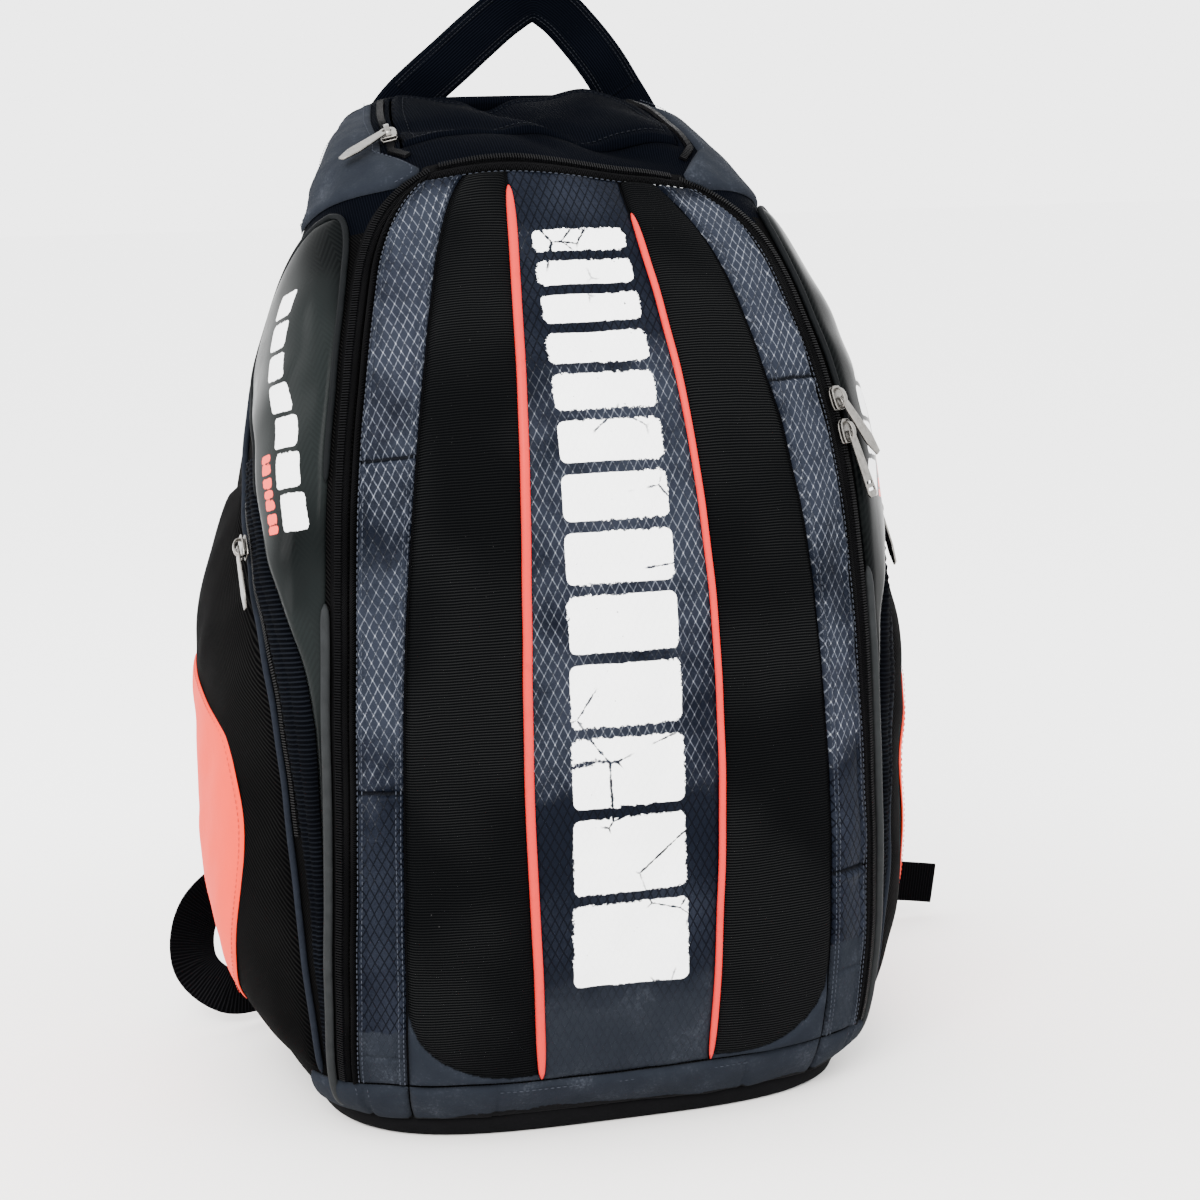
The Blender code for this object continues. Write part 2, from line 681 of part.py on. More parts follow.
def make_buckle(side, word):
    """A ladder-lock buckle: a frame with two slots for the webbing."""
    top_y, top_z = BUCKLE_TOP
    buckle = box(f"strap_buckle_{word}", PLASTIC, (BUCKLE_W, BUCKLE_T, BUCKLE_H))
    buckle.location = (side * STRAP_X, top_y, top_z - BUCKLE_H / 2)
    for level in (0.24, -0.24):
        slot = box(f"buckle_slot_{word}_{level}", PLASTIC, (WEB_W + 0.002, BUCKLE_T * 3, BUCKLE_H * 0.22))
        slot.location = buckle.location + Vector((0, 0, level * BUCKLE_H))
        cut(buckle, slot)
    return buckle


def webbing_line(side):
    """Route of the adjusting webbing from the buckle to its anchor at the base corner."""
    return [(side * x, y, z) for x, y, z in (
        (0.060, 0.1400, 0.1425), (0.064, 0.1440, 0.1210), (0.092, 0.1520, 0.0950), (0.138, 0.1510, 0.0770),
        (0.172, 0.1380, 0.0580), (0.180, 0.1140, 0.0350), (0.164, 0.1020, 0.0200), (0.140, 0.1080, 0.0180))]


def make_webbing(side, word):
    """The adjusting webbing, a slack loop beside the base."""
    line = smooth_line(webbing_line(side), 5)
    return ribbon(f"webbing_{word}", WEBBING, line, facing(line, (0, 1, 0)), WEB_W, WEB_T)


def make_anchor(side, word):
    """The coral tab that sews the webbing to the base corner."""
    points = [(side * x, y, z) for x, y, z in (
        (0.1335, 0.1050, 0.0190), (0.1250, 0.1010, 0.0175), (0.1150, 0.1075, 0.0165))]
    return ribbon(f"strap_anchor_{word}", CORAL, points, [(0, 0.2, 1)] * 3, WEB_W, 0.0022)


def make_tail(side, word):
    """The webbing's free end, standing out from the buckle."""
    line = smooth_line([(side * x, y, z) for x, y, z in TAIL_LINES[word]], 5)
    return ribbon(f"webbing_tail_{word}", WEBBING, line, facing(line, (0, 1, 0)), WEB_W, WEB_T)


# ---------------------------------------------------------------- zip sliders and pulls
def frame_on(route, t):
    """Axes at place t of a zip: across it, along it, and out of the surface."""
    v, s = route(t)
    step = 0.02
    ahead = at(*route(t + step)) - at(*route(t - step))
    ahead.normalize()
    out = normal(v, s)
    out = (out - ahead * out.dot(ahead)).normalized()
    return at(v, s), ahead.cross(out), ahead, out


def arc_centre(a, b, c):
    """Centre and unit axis of the circle through three points."""
    ab, ac = b - a, c - a
    cross = ab.cross(ac)
    centre = a + (cross.cross(ab) * ac.length_squared + ac.cross(cross) * ab.length_squared) / (
        2 * cross.length_squared)
    return centre, cross.normalized()


def place_on(piece, origin, across, ahead, out):
    turn = Matrix((across, ahead, out)).transposed()
    piece.matrix_world = Matrix.Translation(origin) @ turn.to_4x4()


def make_zip_pull(name, route, start, far, lean=0.0):
    """A slider on a zip and its pull; the slider turns about the centre of its run's arc.

    lean turns the hanging pull about the way out of the surface.
    """
    middle = (start + far) / 2
    centre, _axis = arc_centre(*(at(*route(t)) for t in (start, middle, far)))
    origin, across, ahead, out = frame_on(route, start)
    if ahead.z < 0:
        across, ahead = -across, -ahead
    slider = box(f"{name}_slider", NICKEL, (SLIDER_W, SLIDER_L, SLIDER_H), bevel=0.0008)
    place_on(slider, origin + out * (SLIDER_LIFT + SLIDER_H / 2), across, ahead, out)
    pin = origin + out * (SLIDER_LIFT + SLIDER_H + GAP + PULL_T) - ahead * 0.001
    pull = box(f"{name}_pull", NICKEL, (PULL_W, PULL_L, PULL_T))
    for vertex in pull.data.vertices:
        vertex.co.y -= PULL_L / 2 - 0.0010
    turn = Matrix.Rotation(lean, 3, out)
    place_on(pull, pin, turn @ across, turn @ ahead, out)
    pivot = add_pivot(f"{name}_run", centre)
    carry(pivot, slider, pull)
    return slider, pull


def edge_zip(side):
    """The zip up one side of the lid and then of the flap, as places on the fixed tape."""
    return lambda v: (v, side * (lid_edge(v) + TAPE + ZIP_GAP + FIXED_TAPE / 2))


def pocket_zip(side):
    """The pocket zip, just behind the front edge of a side pocket."""
    return lambda v: (v, side * (pocket_seam(v) - 0.008))


def make_zips():
    make_zip_pull("front_upper", edge_zip(1), 5.34, 6.5, math.radians(30))
    make_zip_pull("front_lower", edge_zip(1), 5.12, 2.6, math.radians(10))
    make_zip_pull("main", edge_zip(-1), 8.35, 9.3, math.radians(-50))
    make_zip_pull("pocket_left", pocket_zip(-1), 4.7, 3.2)
    make_zip_pull("pocket_right", pocket_zip(1), 4.7, 3.2)


# ---------------------------------------------------------------- assembly
def build():
    make_main_shell()
    make_base_panel()
    make_divider()
    make_back_panel()
    make_back_yoke()
    make_bottom_band()
    make_side_panels()
    make_fixed_tapes()
    lid_pivot = add_pivot("lid_hinge", (0, -0.112, 0.031))
    carry(lid_pivot, *make_lid())
    flap_pivot = add_pivot("flap_hinge", at(FLAP_FROM, 0.0))
    carry(flap_pivot, make_flap())
    handle_pivot = add_pivot("handle_hinge", (0, *HANDLE_HINGE))
    carry(handle_pivot, make_handle())
    for side, word in ((1, "right"), (-1, "left")):
        strap_pivot = add_pivot(f"strap_hinge_{word}", (side * STRAP_X, *STRAP_HINGE))
        buckle = make_buckle(side, word)
        buckle_pivot = add_pivot(f"buckle_hinge_{word}", (side * STRAP_X, *BUCKLE_TOP))
        carry(buckle_pivot, buckle, make_tail(side, word))
        carry(strap_pivot, make_strap(side, word), buckle_pivot)
        make_webbing(side, word)
        make_anchor(side, word)
    make_zips()


build()
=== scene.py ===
import math

import bmesh
import bpy
import numpy as np
from mathutils import Matrix, Vector


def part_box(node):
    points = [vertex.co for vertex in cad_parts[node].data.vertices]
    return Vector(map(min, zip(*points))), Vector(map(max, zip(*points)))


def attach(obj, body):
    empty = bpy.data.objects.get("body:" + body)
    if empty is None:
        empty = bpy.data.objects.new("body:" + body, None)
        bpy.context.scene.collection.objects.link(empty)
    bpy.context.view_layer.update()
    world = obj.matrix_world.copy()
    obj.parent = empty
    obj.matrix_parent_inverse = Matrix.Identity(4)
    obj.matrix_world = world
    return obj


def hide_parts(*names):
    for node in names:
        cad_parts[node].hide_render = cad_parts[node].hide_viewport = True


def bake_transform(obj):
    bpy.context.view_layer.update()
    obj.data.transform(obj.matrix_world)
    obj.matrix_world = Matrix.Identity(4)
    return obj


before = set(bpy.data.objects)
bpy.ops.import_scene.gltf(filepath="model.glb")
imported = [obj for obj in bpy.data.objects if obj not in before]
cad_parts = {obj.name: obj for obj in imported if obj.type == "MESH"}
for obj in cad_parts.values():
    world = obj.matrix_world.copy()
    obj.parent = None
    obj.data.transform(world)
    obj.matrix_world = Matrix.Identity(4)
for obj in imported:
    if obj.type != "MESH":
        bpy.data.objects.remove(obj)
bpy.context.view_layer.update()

# ---------------------------------------------------------------- driving dimensions, as in the part
SECTIONS = np.array((
    (-0.098, 0.0100, 0.100, 0.010, 0.134), (-0.110, 0.0300, 0.106, 0.026, 0.149),
    (-0.120, 0.0850, 0.112, 0.075, 0.157), (-0.124, 0.1650, 0.112, 0.140, 0.156),
    (-0.121, 0.2450, 0.112, 0.205, 0.158), (-0.106, 0.3250, 0.112, 0.270, 0.155),
    (-0.078, 0.3900, 0.112, 0.330, 0.142), (-0.046, 0.4360, 0.112, 0.375, 0.123),
    (-0.008, 0.4660, 0.112, 0.410, 0.108), (0.045, 0.4860, 0.111, 0.440, 0.096),
    (0.085, 0.4935, 0.108, 0.462, 0.084)))
FRONT_POWER, BACK_POWER, BACK_SHARE = 3.4, 4.0, 0.45
CENTRE_HALF = (0.042, 0.0418, 0.0440, 0.0465, 0.0450, 0.0405, 0.0345, 0.0295, 0.028, 0.028, 0.027)
RIB_HALF = (0.099, 0.1035, 0.1045, 0.1035, 0.0995, 0.0895, 0.0760, 0.0620, 0.050, 0.047, 0.042)
LID_HALF = (0.116, 0.1245, 0.1260, 0.1235, 0.1205, 0.1145, 0.1020, 0.0870, 0.068, 0.063, 0.055)
POCKET_SHARE = (0.05, 0.05, 0.09, 0.16, 0.22, 0.42, 0.46, 0.40, 0.36, 0.36, 0.36)
CORAL_SHARE = (0.58, 0.56, 0.33, 0.28, 0.46, 0.84, 0.90, 0.90, 0.90, 0.90, 0.90)
BACK_INSET, SHELL, GAP = 0.030, 0.0030, 0.0003
TAPE, FIXED_TAPE, ZIP_GAP, COIL_AT = 0.0030, 0.0086, 0.0012, 0.0085
CORNER_ROUND = 0.022
LID_FROM, LID_TO, TAPE_FROM = 1.05, 7.50, 7.42
TOP_TAPE_FROM, TOP_TAPE_TO = 7.525, 7.62
FLAP_FROM, FLAP_TO = 8.13, 9.85
POCKET_FROM, POCKET_TO, BULGE = 1.10, 5.20, 0.0215
BACK_FROM, BACK_TO = 1.5, 9.5
LID_TOP_SEAM = 7.41
WEB_WIDE = 0.0245


# ---------------------------------------------------------------- the pack's surface
def along(values, v):
    """A smooth curve through the values, at v counted in steps between them."""
    i = min(max(int(math.floor(v)), 0), len(values) - 2)
    t = v - i
    a, b = values[i], values[i + 1]
    before = values[i - 1] if i > 0 else 2 * a - b
    after = values[i + 2] if i + 2 < len(values) else 2 * b - a
    ma, mb = (b - before) / 2, (after - a) / 2
    return (a * (2 * t ** 3 - 3 * t ** 2 + 1) + ma * (t ** 3 - 2 * t ** 2 + t)
            + b * (3 * t ** 2 - 2 * t ** 3) + mb * (t ** 3 - t ** 2))


def arc(points):
    """Distance along a line of points, from 0."""
    return np.concatenate([[0], np.cumsum(np.linalg.norm(np.diff(points, axis=0), axis=1))])


_u = np.linspace(0, 1, 161)
_quarter = (np.pi / 2) * (_u - 0.97 * np.sin(2 * np.pi * _u) / (2 * np.pi))
ANGLES = np.concatenate([_quarter, (np.pi - _quarter[::-1])[1:]])
_sections = {}


def section(v):
    """Half section at v, from the front centre to the back centre: points and lengths."""
    key = round(float(v), 6)
    if key not in _sections:
        front_y, front_z, back_y, back_z, half = along(SECTIONS, float(v))
        front, back = np.array([0, front_y, front_z]), np.array([0, back_y, back_z])
        centre = back + (front - back) * BACK_SHARE
        ahead = ANGLES <= np.pi / 2
        power = np.where(ahead, FRONT_POWER, BACK_POWER)
        reach = np.where(ahead[:, None], front - centre, back - centre)
        points = centre + reach * (np.abs(np.cos(ANGLES)) ** (2 / power))[:, None]
        points[:, 0] = half * np.abs(np.sin(ANGLES)) ** (2 / power)
        _sections[key] = (points, arc(points))
    return _sections[key]


def at(v, s):
    """Surface points of one section at distances s round from the front centre."""
    points, lengths = section(v)
    s = np.asarray(s, float)
    reach = np.minimum(np.abs(s), lengths[-1])
    found = np.stack([np.interp(reach, lengths, points[:, i]) for i in range(3)], -1)
    found[..., 0] *= np.sign(s)
    return found


def chart(v, s):
    """Surface points and outward normals of one section."""
    s = np.asarray(s, float)
    half = section(v)[1][-1]
    inside = np.clip(s, 0.003 - half, half - 0.003)
    round_it = at(v, inside + 0.003) - at(v, inside - 0.003)
    up = at(min(v + 0.05, 10), s) - at(max(v - 0.05, 0), s)
    n = np.cross(round_it, up)
    return at(v, s), n / np.linalg.norm(n, axis=-1, keepdims=True)


def reach_of(v, x):
    """Distance round the front at which the section is x to the side."""
    points, lengths = section(v)
    front = len(_quarter)
    return float(np.interp(x, points[:front, 0], lengths[:front]))


def corner(v):
    """How far the lid's rounded top corners draw its edge in."""
    if v <= LID_TO:
        t = min(max((v - 6.5) / (LID_TO - 6.5), 0), 1)
        return CORNER_ROUND * (1 - math.sqrt(1 - t * t))
    return CORNER_ROUND * max(0, 1 - max(0, v - TOP_TAPE_TO) / 0.45)


def centre_edge(v):
    return reach_of(v, along(CENTRE_HALF, v))


def rib_edge(v):
    return reach_of(v, along(RIB_HALF, v) - 0.7 * corner(v))


def lid_edge(v):
    return reach_of(v, along(LID_HALF, v) - corner(v))


def half_round(v):
    return section(v)[1][-1]


def back_edge(v):
    return half_round(v) - (along(SECTIONS[:, 4], v) - BACK_INSET)


def tape_out(v):
    return lid_edge(v) + TAPE + ZIP_GAP + FIXED_TAPE


def side_in(v):
    return tape_out(v) + 0.001


def side_place(v, share):
    return tape_out(v) + share * (back_edge(v) - tape_out(v))


def pocket_seam(v):
    return side_place(v, along(POCKET_SHARE, v))


def coral_seam(v):
    return side_place(v, along(CORAL_SHARE, v))


def shifted(seam, step):
    return lambda v: seam(v) + step


def column(seam, vs):
    """Where a seam lies at each v, as a column."""
    return np.array([seam(v) for v in vs]).reshape(-1, 1)


def smoothstep(x):
    x = np.clip(x, 0, 1)
    return x * x * (3 - 2 * x)


def waves(p, size, seed):
    """Smooth seeded unevenness in space, about -1 to 1, with features about size across."""
    rng = np.random.default_rng(seed)
    total = np.zeros(p.shape[:-1])
    for _ in range(9):
        d = rng.normal(size=3)
        d /= np.linalg.norm(d)
        total += np.cos(2 * np.pi * (p @ d) / (size * rng.uniform(1.1, 2.4)) + rng.uniform(0, 6.3))
    return total / 4.2


def ridge(x, y, line, width):
    """A smooth ridge, 1 on the given plan line and fading over width."""
    best = np.full(x.shape, 9.0)
    for (ax, ay), (bx, by) in zip(line, line[1:]):
        dx, dy = bx - ax, by - ay
        t = np.clip(((x - ax) * dx + (y - ay) * dy) / (dx * dx + dy * dy), 0, 1)
        best = np.minimum(best, np.hypot(x - ax - t * dx, y - ay - t * dy))
    return np.exp(-(best / width) ** 2)


_edge_table = {}


def zip_line(v):
    """Where the coil lies at v; kept, since the relief asks for it at every point."""
    key = round(float(v), 6)
    if key not in _edge_table:
        _edge_table[key] = lid_edge(v) + COIL_AT
    return _edge_table[key]


def relief(p, vs, S):
    """How the slack fabric stands off the drawn surface, the same for every layer."""
    V = np.asarray(vs, float).reshape(-1, 1) + 0 * S
    zips = column(zip_line, np.asarray(vs, float).ravel())
    near = np.clip(np.abs(np.abs(S) - zips) / 0.022, 0, 1)
    quiet = 0.25 + 0.75 * near
    soft = 0.0019 * waves(p, 0.085, 3) + 0.0007 * waves(p, 0.030, 5)
    roof = smoothstep((V - 7.62) / 0.5) * smoothstep((0.115 - np.abs(S)) / 0.035)
    x, y = p[..., 0], p[..., 1]
    folds = (-0.0062 * ridge(x, y, ((-0.012, 0.085), (-0.004, 0.030), (0.030, -0.004), (0.062, -0.020)), 0.010)
             + 0.0036 * ridge(x, y, ((-0.060, 0.082), (-0.038, 0.040), (-0.010, 0.004)), 0.014)
             + 0.0040 * ridge(x, y, ((0.040, 0.085), (0.036, 0.040), (0.058, 0.012)), 0.014)
             - 0.0030 * ridge(x, y, ((-0.070, 0.030), (-0.035, 0.012), (0.000, -0.014)), 0.007))
    tilt = (0.0095 * np.exp(-((x + 0.030) / 0.042) ** 2 - ((V - 7.55) / 0.75) ** 2)
            - 0.0060 * np.exp(-((x - 0.062) / 0.034) ** 2 - ((V - 7.25) / 0.65) ** 2))
    base = smoothstep((V - 0.15) / 0.8)
    return base * (quiet * soft + roof * folds + tilt)


def lengths_up(place):
    vs = np.linspace(0, 10, 401)
    return vs, arc(np.array([at(v, place(v)) for v in vs]))


UP_FRONT = lengths_up(lambda v: 0.0)
UP_SIDE = lengths_up(lambda v: side_place(v, 0.5))
UP_BACK = lengths_up(half_round)


def height_of(v, table):
    return np.interp(v, table[0], table[1])


def rows_of(low, high, pitch, table, extra=()):
    """Places from low to high, about pitch apart on the surface, through the extra ones."""
    a, b = height_of(low, table), height_of(high, table)
    count = max(int(round((b - a) / pitch)), 2)
    vs = list(np.interp(np.linspace(a, b, count + 1), table[1], table[0]))
    vs[0], vs[-1] = low, high
    for e in extra:
        vs[int(np.argmin(np.abs(np.array(vs) - e)))] = e
    return np.array(vs)


# ---------------------------------------------------------------- meshes
def linked(name, data):
    made = bpy.data.objects.new(name, data)
    bpy.context.scene.collection.objects.link(made)
    return made


def faces_outward(data, merge=False):
    mesh = bmesh.new()
    mesh.from_mesh(data)
    if merge:
        bmesh.ops.remove_doubles(mesh, verts=mesh.verts, dist=1e-6)
    bmesh.ops.recalc_face_normals(mesh, faces=mesh.faces)
    mesh.to_mesh(data)
    mesh.free()


def new_piece(name, verts, faces, uv=None, marks=None, smooth=True):
    data = bpy.data.meshes.new(name)
    data.from_pydata(np.asarray(verts, float).tolist(), [], [list(f) for f in faces])
    if smooth:
        data.polygons.foreach_set("use_smooth", [True] * len(data.polygons))
    if uv is not None:
        index = np.empty(len(data.loops), np.int32)
        data.loops.foreach_get("vertex_index", index)
        layer = data.uv_layers.new(name="chart")
        layer.data.foreach_set("uv", np.asarray(uv, np.float32)[index].ravel())
    for key, values in (marks or {}).items():
        data.attributes.new(key, "FLOAT", "POINT").data.foreach_set("value", np.asarray(values, np.float32))
    data.update()
    return linked(name, data)


def place_piece(made, body, nodes=(), finish=None):
    """Ride on a body, stand for nodes, take a material."""
    if finish is not None:
        made.data.materials.clear()
        for one in (finish if isinstance(finish, (list, tuple)) else [finish]):
            made.data.materials.append(one)
    if body:
        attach(made, body)
    if nodes:
        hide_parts(*nodes)
    return made


def sheet_faces(kept, count, loop=False):
    """Faces of a closed sheet of two layers: the kept cells, and the walls round them."""
    following = (np.arange(count) + 1) % count
    total = (len(kept) + 1) * count
    ks, js = np.nonzero(kept)
    near, far = ks * count, (ks + 1) * count
    layer = np.stack([near + js, near + following[js], far + following[js], far + js], 1)
    faces = layer.tolist() + (layer[:, ::-1] + total).tolist()

    def wall(p, q, turned):
        faces.append([q, p, p + total, q + total] if turned else [p, q, q + total, p + total])

    below, above = np.pad(kept, ((1, 0), (0, 0))), np.pad(kept, ((0, 1), (0, 0)))
    for k, j in zip(*np.nonzero(below != above)):
        wall(k * count + j, k * count + following[j], above[k, j])
    left, right = np.roll(kept, 1, axis=1), kept
    if not loop:
        left, right = np.pad(kept, ((0, 0), (1, 0))), np.pad(kept, ((0, 0), (0, 1)))
    for k, j in zip(*np.nonzero(left != right)):
        wall(k * count + j, (k + 1) * count + j, not right[k, j])
    return np.array(faces)


def shell_mesh(name, vs, S, outer, inner, table, keep=None, loop=False, marks=None, calm=1.0):
    """A closed sheet between two lifts over a grid of the surface, with the fabric's slack."""
    rows, count = S.shape
    base, n = map(np.array, zip(*[chart(v, s) for v, s in zip(vs, S)]))
    slack = relief(base, vs, S) * calm
    verts = np.concatenate([(base + n * (lift + slack)[..., None]).reshape(-1, 3) for lift in (outer, inner)])
    kept = np.ones((rows - 1, count if loop else count - 1), bool) if keep is None else keep
    faces = sheet_faces(kept, count, loop)
    uv = np.stack([S, height_of(np.asarray(vs), table).reshape(-1, 1) + 0 * S], -1).reshape(-1, 2)
    used = np.zeros(len(verts), bool)
    used[faces] = True
    faces = (np.cumsum(used) - 1)[faces].tolist()
    doubled = {key: np.tile(mark.ravel(), 2)[used] for key, mark in (marks or {}).items()}
    return new_piece(name, verts[used], faces, np.tile(uv, (2, 1))[used], doubled)


class Grid:
    """Where each point of a panel lies: v, s, share across and up, distance to its edges."""

    def __init__(self, a, b, low, high, table, pitch=0.0022, side=1, extra=()):
        self.vs = rows_of(low, high, pitch, table, extra)
        self.table = table
        edges = np.array([(a(v), b(v)) for v in self.vs])
        count = max(int(round((edges[:, 1] - edges[:, 0]).max() / pitch)), 4)
        t = np.linspace(0, 1, count + 1)
        S = edges[:, :1] + t * (edges[:, 1:] - edges[:, :1])
        self.t = np.broadcast_to(t, S.shape)
        if side < 0:
            S, self.t = -S[:, ::-1], self.t[:, ::-1]
        self.S = S
        self.width = (edges[:, 1:] - edges[:, :1]) + 0 * S
        w = height_of(self.vs, table)
        self.w = (w - w[0]).reshape(-1, 1) + 0 * S
        self.h = (w[-1] - w[0])
        self.v = self.vs.reshape(-1, 1) + 0 * S
        self.across = np.minimum(self.t, 1 - self.t) * self.width
        self.ends = np.minimum(self.w, self.h - self.w)
        self.edge = np.minimum(self.across, self.ends)


def base_points(grid):
    return np.array([chart(v, s)[0] for v, s in zip(grid.vs, grid.S)])


def rounding(d, radius):
    q = 1 - np.clip(d / radius, 0, 1)
    return np.sqrt(np.clip(1 - q * q, 0, 1))


def fabric_panel(name, grid, height, radius, body, nodes, finish, low=0.0006, extra=None, marks=None,
                 inner=GAP, bump=None):
    """A skin panel whose face rises from its seams to its full height."""
    outer = low + (height - low) * rounding(grid.edge, radius)
    if extra is not None:
        outer = outer + extra
    base = np.full(grid.S.shape, inner)
    if bump is not None:
        outer, base = outer + bump, base + bump
    outer = np.maximum(outer, base + 0.0002)
    made = shell_mesh(name, grid.vs, grid.S, outer, base, grid.table, marks=marks)
    return place_piece(made, body, nodes, finish)


def lifted(vs, S, lift, bump=None):
    """Points and normals over one place in each row."""
    base, n = map(np.array, zip(*[chart(v, s) for v, s in zip(vs, S)]))
    rise = lift + relief(base, vs, S)
    if bump is not None:
        rise = rise + bump(vs.reshape(-1, 1), S)
    return (base + n * rise[..., None])[:, 0], n[:, 0]


def line_on(place, low, high, lift, pitch=0.003, table=None, bump=None):
    """Points and normals of a line up the surface; place(v) gives s."""
    vs = rows_of(low, high, pitch, table or UP_FRONT)
    return lifted(vs, column(place, vs), lift, bump)


def both_sides(place, *rest):
    """The same line on the right and on the left."""
    return [line_on(lambda v: side * place(v), *rest) for side, _ in SIDES]


def mirrored(place):
    return lambda v: -place(v)


def row_on(v, low, high, lift):
    """Points and normals of a line at one place v, from s low to high."""
    count = max(int(abs(high - low) / 0.003), 3)
    s = np.linspace(low, high, count + 1)
    base, n = chart(v, s)
    rise = lift + relief(base[None], [v], s[None])[0]
    return base + n * rise[:, None], n


def resample(points, normals, pitch):
    points, normals = np.asarray(points, float), np.asarray(normals, float)
    cum = arc(points)
    d = np.linspace(0, cum[-1], max(int(cum[-1] / pitch), 2) + 1)
    p = np.stack([np.interp(d, cum, points[:, i]) for i in range(3)], -1)
    n = np.stack([np.interp(d, cum, normals[:, i]) for i in range(3)], -1)
    return p, n / np.linalg.norm(n, axis=1, keepdims=True), d


def frames(points, normals):
    ahead = np.gradient(points, axis=0)
    ahead /= np.linalg.norm(ahead, axis=1, keepdims=True)
    side = np.cross(ahead, normals)
    side /= np.linalg.norm(side, axis=1, keepdims=True)
    out = np.cross(side, ahead)
    return ahead, side, out


def sweep(name, points, normals, width, thick, power=2.0, around=14, uneven=None):
    """A closed strap or cord along a line: width and thickness may vary along it."""
    points, normals = np.asarray(points, float), np.asarray(normals, float)
    _ahead, side, out = frames(points, normals)
    count = len(points)
    width, thick = np.broadcast_to(width, count), np.broadcast_to(thick, count)
    angle = np.linspace(0, 2 * np.pi, around, endpoint=False)
    cx, sy = [np.sign(turn) * np.abs(turn) ** (2 / power) for turn in (np.cos(angle), np.sin(angle))]
    rings = (points[:, None] + side[:, None] * (cx[None, :, None] * width[:, None, None] / 2)
             + out[:, None] * (sy[None, :, None] * thick[:, None, None] / 2))
    if uneven is not None:
        rings = rings + out[:, None] * uneven(rings)[..., None] * np.abs(sy)[None, :, None]
    cum = arc(points)
    verts = np.concatenate([rings.reshape(-1, 3), points[:1], points[-1:]])
    uv = np.stack([cx[None] * width[:, None] / 2 + 0 * cum[:, None], cum[:, None] + 0 * cx[None]], -1)
    uv = np.concatenate([uv.reshape(-1, 2), [[0, 0]], [[0, cum[-1]]]])
    faces, last = [], (count - 1) * around
    for j in range(around):
        k = (j + 1) % around
        faces += [[row + j, row + j + around, row + k + around, row + k] for row in range(0, last, around)]
        faces += [[count * around, j, k], [count * around + 1, last + k, last + j]]
    return new_piece(name, verts, faces, uv)


def stamped(runs, shape, parts):
    """Copies of one small shape; each run holds its places and their three axes."""
    verts, faces, start = [], [], 0
    for places, *axes in runs:
        block = places[:, None]
        for i, axis in enumerate(axes):
            block = block + axis[:, None] * shape[None, :, i:i + 1]
        verts.append(block.reshape(-1, 3))
        for _ in places:
            faces += [[start + q for q in part] for part in parts]
            start += len(shape)
    return np.concatenate(verts), faces


def stitches(name, body, runs, finish, pitch=0.0030, thick=0.00055):
    """Thread stitches lying along lines; runs are (points, normals)."""
    turns = np.linspace(0, 2 * np.pi, 5, endpoint=False)
    ring = np.stack([0 * turns, np.cos(turns), np.sin(turns)], 1)
    shape = np.concatenate([ring * (1, 0.75, 0.6) + (-0.36, 0, 0), ring * (1, 1, 0.9) + (0, 0, 0.35),
                            ring * (1, 0.75, 0.6) + (0.36, 0, 0), [(-0.5, 0, -0.4), (0.5, 0, -0.4)]])
    parts = []
    for j in range(5):
        k = (j + 1) % 5
        parts += [(j, j + 5, k + 5, k), (j + 5, j + 10, k + 10, k + 5), (15, j, k), (16, 10 + k, 10 + j)]
    laid = []
    for points, normals in runs:
        p, n, _ = resample(points, normals, pitch)
        laid.append(((p[1:] + p[:-1]) / 2, *[axis[:-1] for axis in frames(p, n)]))
    verts, faces = stamped(laid, shape * (0.0021, thick / 2, thick / 2), parts)
    return place_piece(new_piece(name, verts, faces), body, (), finish)


def outline_plate(name, loops, thick, bevel, matrix):
    """A plate with holes: closed outlines in a plane, thickened, with rounded edges."""
    curve = bpy.data.curves.new(name, "CURVE")
    curve.dimensions, curve.fill_mode = "2D", "BOTH"
    curve.extrude, curve.bevel_depth, curve.bevel_resolution = thick / 2 - bevel, bevel, 2
    curve.offset = -bevel
    for loop in loops:
        spline = curve.splines.new("POLY")
        spline.points.add(len(loop) - 1)
        for point, (x, y) in zip(spline.points, loop):
            point.co = (x, y, 0, 1)
        spline.use_cyclic_u = True
    holder = linked(name, curve)
    bpy.context.view_layer.update()
    data = bpy.data.meshes.new_from_object(holder.evaluated_get(bpy.context.evaluated_depsgraph_get()))
    bpy.data.objects.remove(holder)
    data.transform(matrix)
    faces_outward(data, merge=True)
    data.name = name
    return linked(name, data)


def rounded_loop(width, height, radius, cx=0.0, cy=0.0):
    points, steps = [], 5
    for qx, qy, start in ((1, 1, 0), (-1, 1, 90), (-1, -1, 180), (1, -1, 270)):
        for i in range(steps + 1):
            a = math.radians(start + 90 * i / steps)
            points.append((cx + qx * (width / 2 - radius) + radius * math.cos(a),
                           cy + qy * (height / 2 - radius) + radius * math.sin(a)))
    return points


def join(name, pieces):
    """One mesh from several, keeping their shading and UVs."""
    with bpy.context.temp_override(active_object=pieces[0], selected_editable_objects=pieces,
                                   object=pieces[0], selected_objects=pieces):
        bpy.ops.object.join()
    pieces[0].name = name
    pieces[0].data.name = name
    return pieces[0]


